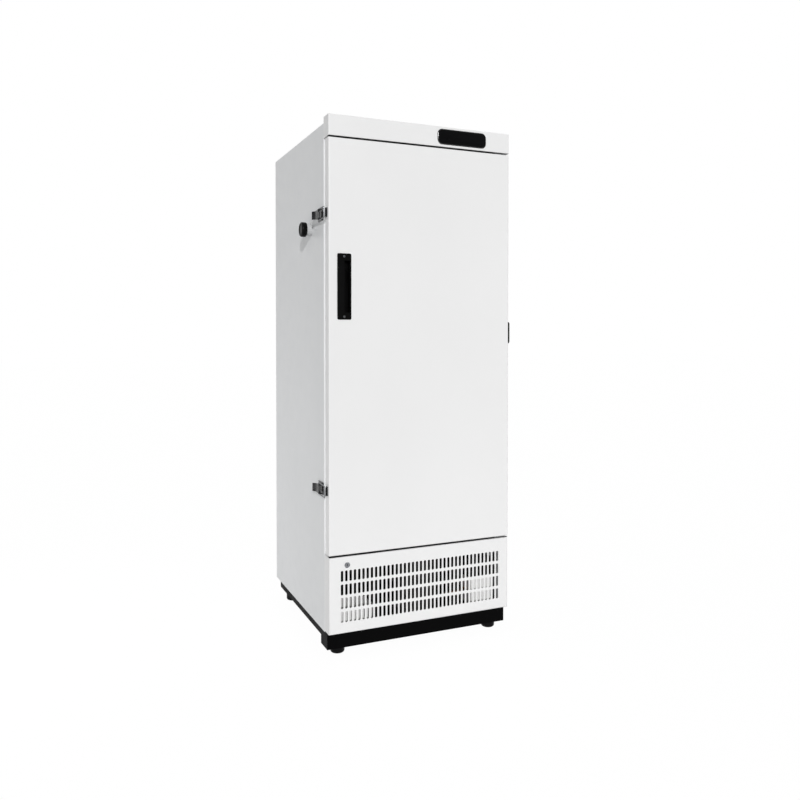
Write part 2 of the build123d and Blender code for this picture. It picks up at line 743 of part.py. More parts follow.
# Grille panel: a pan with rounded edges and rows of upright slots, hung on two pins at its right edge
y_relief = grille_pin_y + grille_relief
slot_centre = z_grille - slot_top_margin - slot_height / 2 - slot_row_pitch * (slot_rows - 1) / 2
half_slot = (slot_width / 2, slot_height / 2)
slot_outline = [
    (half_slot[0], half_slot[1] - slot_corner),
    (half_slot[0] - slot_corner, half_slot[1]),
    (slot_corner - half_slot[0], half_slot[1]),
    (-half_slot[0], half_slot[1] - slot_corner),
    (-half_slot[0], slot_corner - half_slot[1]),
    (slot_corner - half_slot[0], -half_slot[1]),
    (half_slot[0] - slot_corner, -half_slot[1]),
    (half_slot[0], slot_corner - half_slot[1]),
]
with BuildPart() as grille_panel:
    block((-half_width, half_width), (y_face, y_cab - grille_gap), (z_body, z_grille))
    fillet(grille_panel.faces().sort_by(Axis.Y)[0].edges(), grille_corner)
    offset(amount=-sheet, openings=grille_panel.faces().sort_by(Axis.Y)[-1])
    relief = (half_width - grille_relief_width, half_width)
    block(relief, (y_relief, y_cab), (z_body, z_grille), Mode.SUBTRACT)
    for low in (z_body, z_grille - sheet - boss_height):
        bar((grille_pin_x, grille_pin_y, low), (0, 0, 1), boss_radius, sheet + boss_height, small_sides)
        bar((grille_pin_x, grille_pin_y, low), (0, 0, 1), grille_pin_radius + pin_fit,
            sheet + boss_height, mode=Mode.SUBTRACT)
    bar((lock_x, y_face, lock_z), (0, 1, 0), lock_body, 2 * sheet, turned_sides, Mode.SUBTRACT)
    slot_columns = int((cabinet_width - 2 * slot_margin - slot_width) / slot_pitch) + 1
    with BuildSketch(Plane.XZ.offset(-y_face)) as slots:
        with Locations((0, slot_centre)):
            with GridLocations(slot_pitch, slot_row_pitch, slot_columns, slot_rows):
                Polygon(*slot_outline)
    extrude(slots.sketch, amount=-2 * sheet, mode=Mode.SUBTRACT)
keep(grille_panel, "grille_panel")

# Cam lock: a housing through the grille's face, and a cylinder that turns a flat tongue behind the strike
with BuildPart() as lock_housing:
    bar((lock_x, y_face - lock_proud, lock_z), (0, 1, 0), lock_face, lock_proud, turned_sides)
    chamfer(lock_housing.faces().sort_by(Axis.Y)[0].edges(), lock_bevel)
    bar((lock_x, y_face, lock_z), (0, 1, 0), lock_body, lock_length - tongue_gap, turned_sides)
    bar((lock_x, y_face - lock_proud, lock_z), (0, 1, 0), lock_plug + pin_fit,
        lock_proud + lock_length, mode=Mode.SUBTRACT)
keep(lock_housing, "lock_housing")

with BuildPart() as lock_cylinder:
    key_face = y_face - lock_proud + lock_recess
    bar((lock_x, key_face, lock_z), (0, 1, 0), lock_plug, y_tongue + tongue_thickness - key_face)
    with BuildSketch(Plane.XZ.offset(-y_tongue)) as tongue:
        with Locations((lock_x, lock_z)):
            SlotCenterToCenter(2 * (tongue_length - tongue_width / 2), tongue_width)
        with Locations((lock_x - tongue_length, lock_z)):
            Rectangle(2 * (tongue_length - lock_plug), 2 * tongue_width, mode=Mode.SUBTRACT)
    extrude(tongue.sketch, amount=-tongue_thickness)
    key_x = (lock_x - lock_recess, lock_x + lock_recess)
    key_z = (lock_z - lock_plug / 2, lock_z + lock_plug / 2)
    block(key_x, (key_face, key_face + lock_proud), key_z, Mode.SUBTRACT)
keep(lock_cylinder, "lock_cylinder")

# Base frame: a deep front kick, two side rails and a rear member, with a nut over each foot
y_kick = y_face + kick_setback
y_rear_member = y_back - rear_member_gap - kick_depth
y_rail_end = y_back - rail_end_gap
foot_x = half_width - foot_edge
foot_rows = {"front": y_kick + kick_depth / 2, "rear": y_rear_member + kick_depth / 2}
with BuildPart() as base_frame:
    rail_inner = inner_half - rail_width
    z_kick_in = (foot_clearance + base_sheet, z_base - base_sheet)
    block((-inner_half, inner_half), (y_kick, y_kick + kick_depth), (foot_clearance, z_base))
    kick_in = (y_kick + base_sheet, y_kick + kick_depth)
    block((base_sheet - inner_half, inner_half - base_sheet), kick_in, z_kick_in, Mode.SUBTRACT)
    rear_in = (y_rear_member, y_rear_member + kick_depth - base_sheet)
    block((-rail_inner, rail_inner), (y_rear_member, rear_in[1] + base_sheet), (foot_clearance, z_base))
    block((base_sheet - rail_inner, rail_inner - base_sheet), rear_in, z_kick_in, Mode.SUBTRACT)
    for side in (-1, 1):
        rail_span = (y_kick + kick_depth, y_rail_end)
        rail_low = z_body - rail_drop
        with BuildSketch(Plane.YZ.offset(side * inner_half)) as rail_side:
            with Locations((sum(rail_span) / 2, (rail_low + z_base) / 2)):
                Rectangle(rail_span[1] - rail_span[0], z_base - rail_low)
            fillet(rail_side.vertices().group_by(Axis.Y)[0].sort_by(Axis.X)[-1], rail_round)
        extrude(rail_side.sketch, amount=-side * rail_width)
        rail_in = (side * (inner_half - base_sheet), side * (rail_inner + base_sheet))
        hollow = (rail_span[0], y_rail_end - base_sheet)
        block(rail_in, hollow, (rail_low, z_base - base_sheet), Mode.SUBTRACT)
        for y in foot_rows.values():
            foot_place = (side * foot_x, y, foot_clearance)
            bar(foot_place, (0, 0, 1), nut_radius, nut_height, sides=nut_sides)
            bar(foot_place, (0, 0, 1), foot_stem + stem_fit, nut_height, small_sides, Mode.SUBTRACT)
    pin_height = grille_gap + sheet + boss_height
    bar((grille_pin_x, grille_pin_y, z_base), (0, 0, 1), grille_pin_radius, pin_height)
keep(base_frame, "base_frame")

# Feet: a pad with a rounded underside and a stem that screws into the base
foot_top = [(foot_height - sheet, foot_radius), (foot_height, foot_radius - sheet)]
for row, y in foot_rows.items():
    for side, hand in ((-1, "left"), (1, "right")):
        with BuildPart() as foot:
            turned((side * foot_x, y, 0), (0, 0, 1), rounding(foot_radius, foot_round) + foot_top)
            bar((side * foot_x, y, foot_height), (0, 0, 1), foot_stem, stem_length, small_sides)
        keep(foot, f"foot_{row}_{hand}")

# Machine tray: the compartment's floor, with its edges turned up
with BuildPart() as machine_tray:
    tray_x = inner_half - tray_side_gap
    tray_y = (y_cab + tray_front_gap, y_skin - tray_front_gap)
    block((-tray_x, tray_x), tray_y, (z_base, z_tray + tray_lip))
    tray_inside = (tray_y[0] + sheet, tray_y[1] - sheet)
    block((sheet - tray_x, tray_x - sheet), tray_inside, (z_tray, z_tray + tray_lip), Mode.SUBTRACT)
keep(machine_tray, "machine_tray")

# Compressor: a domed shell with a welded seam, a foot plate on rubber grommets and two pipe stubs
z_plate = z_tray + grommet_height
z_shell = z_plate + plate_thickness
z_shell_top = z_shell + compressor_height
compressor_x = -half_width + compressor_edge
compressor_y = y_skin - compressor_back
grommet_span = (plate_length - 2 * grommet_inset, plate_width - 2 * grommet_inset)
suction_x = compressor_x - compressor_radius / 2
discharge_z = z_shell + compressor_height / 2 + 4 * seam_height
discharge_x = compressor_x + compressor_radius + stub_reach
with BuildPart() as compressor:
    with BuildSketch(Plane.XY.offset(z_plate)):
        with Locations((compressor_x, compressor_y)):
            RectangleRounded(plate_length, plate_width, grommet_inset)
    extrude(amount=plate_thickness)
    crown_start = compressor_height - compressor_crown
    crown = [
        (crown_start + compressor_crown * sin(turn), compressor_radius * cos(turn))
        for turn in (0, pi / 6, pi / 3, pi * 5 / 12)
    ]
    shell = rounding(compressor_radius, compressor_round) + crown
    turned((compressor_x, compressor_y, z_shell), (0, 0, 1), shell)
    seam = (compressor_x, compressor_y, z_shell + compressor_height / 2)
    bar(seam, (0, 0, 1), compressor_radius + seam_width, seam_height, turned_sides)
    suction = (suction_x, compressor_y, z_shell + crown_start)
    bar(suction, (0, 0, 1), stub_radius, compressor_crown + stub_reach, small_sides)
    discharge = (compressor_x, compressor_y, discharge_z)
    bar(discharge, (1, 0, 0), stub_radius, compressor_radius + stub_reach, small_sides)
keep(compressor, "compressor")

with BuildPart() as compressor_grommets:
    with BuildSketch(Plane.XY.offset(z_tray)):
        with Locations((compressor_x, compressor_y)):
            with GridLocations(grommet_span[0], grommet_span[1], 2, 2):
                RegularPolygon(grommet_radius, small_sides)
    extrude(amount=grommet_height)
keep(compressor_grommets, "compressor_grommets")

# Condenser: upright fins on a spine, on end plates, between the drain pan and the electrical box
condenser_left = -half_width + pan_edge + pan_width + condenser_gap
condenser_right = half_width - control_edge - control_width - condenser_gap
condenser_x = (condenser_left + condenser_right) / 2
condenser_half = (condenser_right - condenser_left) / 2
y_condenser = y_cab + condenser_setback
z_condenser = z_tray + condenser_lift
z_condenser_top = z_condenser + condenser_height
fin_count = int((2 * condenser_half - fin_thickness) / fin_pitch) + 1
fin_step = (2 * condenser_half - fin_thickness) / (fin_count - 1)
with BuildPart() as condenser:
    with BuildSketch(Plane.XY.offset(z_condenser)):
        with Locations((condenser_x, y_condenser + condenser_depth / 2)):
            Rectangle(2 * condenser_half, spine_thickness)
            with GridLocations(fin_step, 1, fin_count, 1):
                Rectangle(fin_thickness, condenser_depth)
    extrude(amount=condenser_height)
    for end, inward in ((condenser_left, 1), (condenser_right, -1)):
        end_plate = (end, end + inward * fin_thickness)
        block(end_plate, (y_condenser, y_condenser + condenser_depth), (z_tray, z_condenser))
keep(condenser, "condenser")

# Fan shroud: a shallow box behind the condenser, with a round collar that the fan turns in
y_shroud = y_condenser + condenser_depth
y_shroud_back = y_shroud + shroud_depth
fan_centre = (condenser_x, z_condenser + condenser_height / 2)
collar_bore = fan_radius + fan_clearance
with BuildPart() as fan_shroud:
    block((condenser_left, condenser_right), (y_shroud, y_shroud_back), (z_condenser, z_condenser_top))
    shroud_x = (condenser_left + shroud_wall, condenser_right - shroud_wall)
    shroud_z = (z_condenser + shroud_wall, z_condenser_top - shroud_wall)
    block(shroud_x, (y_shroud, y_shroud_back - shroud_wall), shroud_z, Mode.SUBTRACT)
    collar_start = (fan_centre[0], y_shroud + shroud_depth / 4, fan_centre[1])
    bar(collar_start, (0, 1, 0), collar_bore + shroud_wall, shroud_collar, turned_sides)
    bar(collar_start, (0, 1, 0), collar_bore, shroud_depth, turned_sides, Mode.SUBTRACT)
keep(fan_shroud, "fan_shroud")

# Fan motor: a round motor on four arms across the shroud's opening, with its shaft towards the fan
y_fan = y_shroud_back - motor_gap - fan_depth
with BuildPart() as fan_motor:
    motor_face = (fan_centre[0], y_shroud_back, fan_centre[1])
    bar(motor_face, (0, 1, 0), motor_radius, motor_length, turned_sides)
    chamfer(fan_motor.faces().sort_by(Axis.Y)[-1].edges(), arm_thickness)
    arm_reach = collar_bore + arm_width
    with BuildSketch(Plane.XZ.offset(-y_shroud_back)) as arms:
        with Locations(fan_centre):
            Rectangle(2 * arm_reach, arm_width, rotation=arm_angle)
            Rectangle(2 * arm_reach, arm_width, rotation=-arm_angle)
    extrude(arms.sketch, amount=-arm_thickness)
    bar(motor_face, (0, -1, 0), motor_shaft, motor_gap + fan_depth)
keep(fan_motor, "fan_motor")

# Fan: a hub and pitched blades that widen outwards, with a running fit on the motor's shaft
tip_reach = sqrt(fan_radius**2 - (blade_tip / 2) ** 2)
with BuildPart() as fan_blades:
    hub_face = (fan_centre[0], y_fan, fan_centre[1])
    bar(hub_face, (0, 1, 0), fan_hub, fan_depth, turned_sides)
    middle = (fan_centre[0], y_fan + fan_depth / 2, fan_centre[1])
    for blade in range(fan_blade_count):
        turn = radians(360 / fan_blade_count * blade)
        outward = Vector(cos(turn), 0, sin(turn))
        around = Vector(-sin(turn), 0, cos(turn))
        facing = Vector(0, 1, 0) * cos(radians(blade_pitch)) - around * sin(radians(blade_pitch))
        with BuildSketch(Plane(middle, x_dir=outward, z_dir=facing)) as blade_face:
            Polygon(
                (fan_hub - blade_thickness, -blade_root / 2),
                (tip_reach, -blade_tip / 2),
                (tip_reach, blade_tip / 2),
                (fan_hub - blade_thickness, blade_root / 2),
                align=None,
            )
        extrude(blade_face.sketch, amount=blade_thickness / 2, both=True)
    bar(hub_face, (0, 1, 0), motor_shaft + pin_fit, fan_depth, mode=Mode.SUBTRACT)
keep(fan_blades, "fan_blades")

# Drier: a small canister in front of the condenser, clipped to it
drier_x = condenser_right - drier_inset
drier_y = y_cab + drier_setback
drier_z = z_tray + drier_rise
drier_left = drier_x - drier_length / 2
with BuildPart() as drier_filter:
    bar((drier_left, drier_y, drier_z), (1, 0, 0), drier_radius, drier_length, small_sides)
    chamfer(drier_filter.faces().filter_by(Axis.X).edges(), drier_radius / 2)
    clip_x = (drier_x - drier_radius / 2, drier_x + drier_radius / 2)
    clip_z = (drier_z - drier_radius / 2, drier_z + drier_radius / 2)
    block(clip_x, (drier_y + drier_radius / 2, y_condenser), clip_z)
keep(drier_filter, "drier_filter")

# Copper pipes: discharge to the condenser, condenser to the drier, drier to the chamber, and the suction line
loop_z = (z_condenser_top + z_grille) / 2 - pipe_radius
discharge_turn = discharge_x + 4 * pipe_bend
inlet_y = y_condenser + condenser_depth / 2
liquid_x = drier_x + drier_length / 2 + pipe_bend + 2 * pipe_radius
pipe_routes = [
    [
        (discharge_x, compressor_y, discharge_z),
        (discharge_turn, compressor_y, discharge_z),
        (discharge_turn, compressor_y, loop_z),
        (discharge_turn, inlet_y, loop_z),
        (discharge_turn, inlet_y, z_condenser_top),
    ],
    [
        (drier_left, drier_y, drier_z),
        (drier_left - pipe_bend - pipe_radius, drier_y, drier_z),
        (drier_left - pipe_bend - pipe_radius, y_condenser, drier_z),
    ],
    [
        (drier_x + drier_length / 2, drier_y, drier_z),
        (liquid_x, drier_y, drier_z),
        (liquid_x, y_shroud_back, drier_z),
        (liquid_x, y_shroud_back, z_grille),
    ],
]
with BuildPart() as refrigerant_pipes:
    for route in pipe_routes:
        with BuildLine() as path:
            FilletPolyline(*route, radius=pipe_bend)
        first_run = Vector(*route[1]) - Vector(*route[0])
        with BuildSketch(Plane(route[0], z_dir=first_run)) as section:
            RegularPolygon(pipe_radius, tube_sides)
        sweep(section.sketch, path=path.line)
    suction_top = z_shell_top + stub_reach
    suction_start = (suction_x, compressor_y, suction_top)
    bar(suction_start, (0, 0, 1), pipe_radius, z_grille - suction_top, tube_sides)
keep(refrigerant_pipes, "refrigerant_pipes")

# Drain pan: a pale moulded tray with sloping walls, at the front left of the compartment
with BuildPart() as drain_pan:
    pan_x = -half_width + pan_edge + pan_width / 2
    pan_y = y_cab + 2 * tray_front_gap + pan_depth / 2
    for floor, shrink, mode in ((z_tray, 0, Mode.ADD), (z_tray + pan_wall, pan_wall, Mode.SUBTRACT)):
        rings = []
        for level in (floor, z_tray + pan_height):
            draft = (z_tray + pan_height - level) * tan(radians(pan_draft))
            half_x = pan_width / 2 - shrink - draft
            half_y = pan_depth / 2 - shrink - draft
            corners = [(1, 1, 0, 1), (1, 1, 1, 0), (1, -1, 1, 0), (1, -1, 0, 1)]
            corners += [(-1, -1, 0, 1), (-1, -1, 1, 0), (-1, 1, 1, 0), (-1, 1, 0, 1)]
            rings.append([
                (pan_x + x * (half_x - cut_x * pan_corner), pan_y + y * (half_y - cut_y * pan_corner), level)
                for x, y, cut_y, cut_x in corners
            ])
        skinned(rings, mode)
keep(drain_pan, "drain_pan")

# Electrical box: a pale housing with a lid, at the front right of the compartment
with BuildPart() as electrical_box:
    control_x = (half_width - control_edge - control_width, half_width - control_edge)
    control_y = (y_cab + control_setback, y_cab + control_setback + control_depth)
    block(control_x, control_y, (z_tray, z_tray + control_height))
    fillet(electrical_box.edges().filter_by(Axis.Z), control_corner)
    lid_x = (control_x[0] + control_corner, control_x[1] - control_corner)
    lid_z = (z_tray + control_corner, z_tray + control_height - control_corner)
    block(lid_x, (control_y[0] - control_lid, control_y[0]), lid_z)
    chamfer(electrical_box.faces().sort_by(Axis.Y)[0].edges(), control_lid / 2)
keep(electrical_box, "electrical_box")

# Box on the right side: a moulded cover with rounded top and outer edges, open towards the panel
with BuildPart() as terminal_box:
    terminal_x = (half_width, half_width + side_reach)
    terminal_y = (y_cab + terminal_setback, y_cab + terminal_setback + terminal_length)
    block(terminal_x, terminal_y, (terminal_level, terminal_level + terminal_height))
    fillet(terminal_box.faces().sort_by(Axis.X)[-1].edges(), terminal_round)
    inside_x = (half_width, half_width + side_reach - terminal_wall)
    inside_y = (terminal_y[0] + terminal_wall, terminal_y[1] - terminal_wall)
    inside_z = (terminal_level + terminal_wall, terminal_level + terminal_height - terminal_wall)
    with BuildPart(mode=Mode.PRIVATE) as hollow:
        block(inside_x, inside_y, inside_z)
        fillet(hollow.faces().sort_by(Axis.X)[-1].edges(), terminal_round - terminal_wall)
    add(hollow.part, mode=Mode.SUBTRACT)
keep(terminal_box, "terminal_box")

# Port: a collar that runs through the left wall into the chamber, and the stopper that closes it
port_mouth = -half_width - port_reach
port_start = (port_mouth, port_y, port_level)
port_length = port_reach + side_wall
with BuildPart() as port_tube:
    bar(port_start, (1, 0, 0), port_collar, port_length, turned_sides)
    chamfer(port_tube.faces().sort_by(Axis.X)[0].edges(), sheet)
    bar(port_start, (1, 0, 0), port_bore, port_length, turned_sides, Mode.SUBTRACT)
keep(port_tube, "port_collar")

with BuildPart() as port_stopper:
    head_length = side_reach - port_reach - seat_gap
    head = rounding(stopper_radius, stopper_round) + [(head_length, stopper_radius)]
    turned((-half_width - side_reach, port_y, port_level), (1, 0, 0), head)
    plug_start = (port_mouth - seat_gap, port_y, port_level)
    bar(plug_start, (1, 0, 0), port_bore - stopper_fit, stopper_plug, turned_sides)
    chamfer(port_stopper.faces().sort_by(Axis.X)[-1].edges(), sheet)
keep(port_stopper, "port_stopper")

# Draw latches: a plate with two ears, a lever on their pin, a wire bail on it and a keeper on the door
plate_y = (y_cab + latch_setback, y_cab + latch_setback + latch_plate_length)
plate_x = (-half_width - latch_sheet, -half_width)
pivot_x = -half_width - pivot_out
pivot_y = y_cab + pivot_back
bail_x = -half_width - bail_out
bail_y = pivot_y + bail_back
ear_inner = lever_half + ear_gap
ear_outer = ear_inner + latch_sheet
for place, level in latch_levels.items():
    with BuildPart() as latch_base:
        block(plate_x, plate_y, (level - latch_plate_height / 2, level + latch_plate_height / 2))
        fillet(latch_base.edges().filter_by(Axis.X), latch_sheet * 2)
        for side in (-1, 1):
            with BuildSketch(Plane.XY.offset(level + side * ear_inner)) as ear:
                with Locations((pivot_x, pivot_y)):
                    Circle(ear_radius)
                with Locations(((pivot_x - half_width) / 2, pivot_y)):
                    Rectangle(pivot_out, 2 * ear_radius)
            extrude(ear.sketch, amount=side * latch_sheet)
        bar((pivot_x, pivot_y, level - ear_outer), (0, 0, 1), latch_pin, 2 * ear_outer, small_sides)
    keep(latch_base, f"{place}_latch_base")

    with BuildPart() as latch_lever:
        with BuildSketch(Plane.XY.offset(level - lever_half)) as lever_side:
            with BuildLine():
                Polyline(
                    (-half_width - lever_floor, pivot_y - lever_heel),
                    (-half_width - lever_floor, pivot_y + lever_channel),
                    (-half_width - lever_web + latch_sheet, pivot_y + lever_tip),
                    (-half_width - lever_curl + latch_sheet, pivot_y + lever_length),
                    (-half_width - lever_curl, pivot_y + lever_length - latch_sheet),
                    (-half_width - lever_web, pivot_y + lever_bend),
                    (-half_width - lever_web, pivot_y),
                    (-half_width - pivot_out, pivot_y - lever_nose),
                    close=True,
                )
            make_face()
        extrude(amount=2 * lever_half)
        channel_x = (-half_width - lever_web + lever_sheet, -half_width)
        channel_y = (pivot_y - pivot_out, pivot_y + lever_channel)
        channel_z = (level - lever_half + lever_sheet, level + lever_half - lever_sheet)
        block(channel_x, channel_y, channel_z, Mode.SUBTRACT)
        for hole_x, hole_y, pin in ((pivot_x, pivot_y, latch_pin), (bail_x, bail_y, bail_wire)):
            bottom = (hole_x, hole_y, level - lever_half)
            bar(bottom, (0, 0, 1), pin + pin_fit, 2 * lever_half, small_sides, Mode.SUBTRACT)
    keep(latch_lever, f"{place}_latch_lever")

    with BuildPart() as latch_bail:
        hook_x, hook_y = bail_x - bail_rise, bail_y - bail_reach
        for side in (-1, 1):
            with BuildLine() as wire_path:
                Polyline(
                    (bail_x, bail_y, level + side * bail_stub),
                    (bail_x, bail_y, level + side * bail_half),
                    (hook_x, hook_y, level + side * bail_half),
                    (hook_x, hook_y, level),
                )
            stub = (bail_x, bail_y, level + side * bail_stub)
            with BuildSketch(Plane(stub, z_dir=(0, 0, side))) as wire_end:
                RegularPolygon(bail_wire, wire_sides)
            sweep(wire_end.sketch, path=wire_path.line, transition=Transition.RIGHT)
    keep(latch_bail, f"{place}_latch_bail")

    with BuildPart() as latch_keeper:
        lip_y = hook_y + bail_wire + seat_gap
        keeper_z = (level - keeper_height / 2, level + keeper_height / 2)
        block(plate_x, (lip_y, lip_y + keeper_width), keeper_z)
        fillet(latch_keeper.edges().filter_by(Axis.X), latch_sheet)
        with BuildSketch(Plane.XY.offset(keeper_z[0] + latch_sheet)):
            with BuildLine():
                Polyline(
                    (-half_width - latch_sheet, lip_y),
                    (-half_width - keeper_reach, lip_y),
                    (-half_width - keeper_reach, lip_y + latch_sheet),
                    (-half_width - 2 * latch_sheet, lip_y + 2 * latch_sheet),
                    (-half_width - latch_sheet, lip_y + 3 * latch_sheet),
                    close=True,
                )
            make_face()
        extrude(amount=keeper_height - 2 * latch_sheet)
    keep(latch_keeper, f"{place}_latch_keeper")

# Screws: eight-sided heads on the rear service grille and on the hinge brackets
with BuildPart() as cabinet_screws:
    screw_columns = (-inner_half + panel_flange, 0, inner_half - panel_flange)
    for x in screw_columns:
        for z in (z_base + panel_flange, z_grille - panel_flange / 2):
            bar((x, y_skin + sheet, z), (0, 1, 0), screw_head, screw_height, sides=wire_sides)
    bracket_screw_x = inner_half - bracket_width + 2 * screw_head
    for z in (leaf_low - bracket_drop / 2, leaf_high + bracket_drop / 2 + bracket_thickness):
        for step in (-1, 1):
            head = (bracket_screw_x, y_cab - bracket_thickness, z + step * bracket_screw_step)
            bar(head, (0, -1, 0), screw_head, screw_height, sides=wire_sides)
keep(cabinet_screws, "cabinet_screws")
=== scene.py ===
"""Looks of the laboratory freezer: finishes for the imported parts, finer pieces over them, and the studio."""
from math import degrees, pi, radians

import bmesh
import bpy
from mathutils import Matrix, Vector


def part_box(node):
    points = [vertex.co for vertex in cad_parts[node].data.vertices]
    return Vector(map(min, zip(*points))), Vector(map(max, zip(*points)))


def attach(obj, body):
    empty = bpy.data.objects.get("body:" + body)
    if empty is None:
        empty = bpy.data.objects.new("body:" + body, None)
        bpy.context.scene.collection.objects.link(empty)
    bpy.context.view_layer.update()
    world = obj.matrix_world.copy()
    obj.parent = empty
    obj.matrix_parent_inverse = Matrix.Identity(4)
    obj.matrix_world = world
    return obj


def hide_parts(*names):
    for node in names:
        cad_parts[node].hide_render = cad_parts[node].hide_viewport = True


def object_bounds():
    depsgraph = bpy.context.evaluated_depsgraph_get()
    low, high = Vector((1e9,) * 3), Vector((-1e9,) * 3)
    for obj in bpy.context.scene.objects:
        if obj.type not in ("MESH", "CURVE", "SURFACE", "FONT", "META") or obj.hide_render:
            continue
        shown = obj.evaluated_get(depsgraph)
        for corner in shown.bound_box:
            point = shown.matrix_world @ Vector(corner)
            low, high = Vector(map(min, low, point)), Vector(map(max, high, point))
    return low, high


bl_info = {
    "name": "Laboratory Freezer",
    "version": (1, 0, 0),
    "blender": (4, 5, 0),
    "location": "View3D > Sidebar > Freezer",
    "description": "Builds the freezer's visible pieces, finishes and studio round the packed parts",
    "category": "Add Mesh",
}

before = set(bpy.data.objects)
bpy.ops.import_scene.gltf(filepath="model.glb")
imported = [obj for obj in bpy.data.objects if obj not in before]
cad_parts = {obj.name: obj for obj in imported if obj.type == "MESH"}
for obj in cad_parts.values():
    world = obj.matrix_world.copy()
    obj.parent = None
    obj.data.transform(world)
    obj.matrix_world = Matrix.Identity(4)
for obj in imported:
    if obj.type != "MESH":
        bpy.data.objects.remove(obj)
CAD_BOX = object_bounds()
PHOTO_PIXELS = 800
SENSOR_WIDTH = 36
MM = 0.001
# Slack for comparing lengths
HAIR = 0.1 * MM
# The least share of an axis in the normal of a face that looks along it
ALIGNED = 0.9
# A bevel round a ring can pass the ring's own edge by this much
RING_SWELL = 0.25 * MM
X, Y, Z = 0, 1, 2
FINE_SIDES = 64
SCREW_SIDES = 32
WHITE = (1, 1, 1, 1)


def length(label, words, start, low, high):
    """A setting in millimetres."""
    return bpy.props.FloatProperty(name=label, description=words, default=start * MM, min=low * MM,
                                   max=high * MM, unit="LENGTH")


def amount(label, words, start, low, high):
    """A setting without a unit, or in the unit that its words name."""
    return bpy.props.FloatProperty(name=label, description=words, default=start, min=low, max=high)


def count(label, words, start, low, high):
    """A whole number."""
    return bpy.props.IntProperty(name=label, description=words, default=start, min=low, max=high)


def tilt(label, words, start):
    """An angle, given in degrees."""
    return bpy.props.FloatProperty(name=label, description=words, default=radians(start), subtype="ANGLE")


def spot(label, words, start):
    """A place in metres."""
    return bpy.props.FloatVectorProperty(name=label, description=words, default=start,
                                         subtype="TRANSLATION")


def tint(label, words, start):
    """A colour setting."""
    return bpy.props.FloatVectorProperty(name=label, description=words, default=start, subtype="COLOR",
                                         min=0, max=1)


class FreezerFinishes(bpy.types.PropertyGroup):
    """Colours of the freezer's finishes."""

    door_white: tint("Door white", "Powder coat on the door, header and grille", (0.80, 0.80, 0.80))
    # Painted shade: the sides' white is the door's paint made darker, standing in for the key light grazing
    # them
    side_white_painted_shade: tint("Side white", "Powder coat on the side panels and the top", (0.75, 0.76, 0.768))
    liner_white: tint("Liner white", "Embossed liner of the chamber", (0.80, 0.81, 0.81))
    base_black: tint(
        "Base black", "Paint on the base, the tray and the machine parts", (0.0012, 0.0012, 0.0013))
    plastic_black: tint("Plastic black", "Moulded handle, bezel and side box", (0.0015, 0.0015, 0.0016))
    # The same black rubber on the gap strips is painted shade
    rubber_black: tint("Rubber black", "Feet, stopper, grommets and gap strips", (0.0015, 0.0015, 0.0016))
    gasket_white: tint("Gasket white", "Soft seal of the door", (0.84, 0.84, 0.83))
    zinc_grey: tint("Zinc grey", "Zinc on the back panel, rear grille and hinges", (0.50, 0.52, 0.54))
    latch_grey: tint("Latch grey", "Plated steel of the latches", (0.035, 0.036, 0.038))
    copper_red: tint("Copper red", "Refrigerant pipes and drier", (0.55, 0.24, 0.13))
    # Painted shade: the frame is made near black so that the gaps round the door, where it shows, look shaded
    frame_grey: tint("Frame grey", "Plastic frame round the chamber's mouth", (0.045, 0.045, 0.047))
    # Painted shade: the collar's pale plastic is made darker because it faces the key light more than the
    # panel does
    collar_grey_painted_shade: tint("Collar grey", "Plastic collar of the side port", (0.52, 0.525, 0.53))
    pale_grey: tint("Pale grey", "Drain pan and the electrical box's tub", (0.88, 0.88, 0.87))


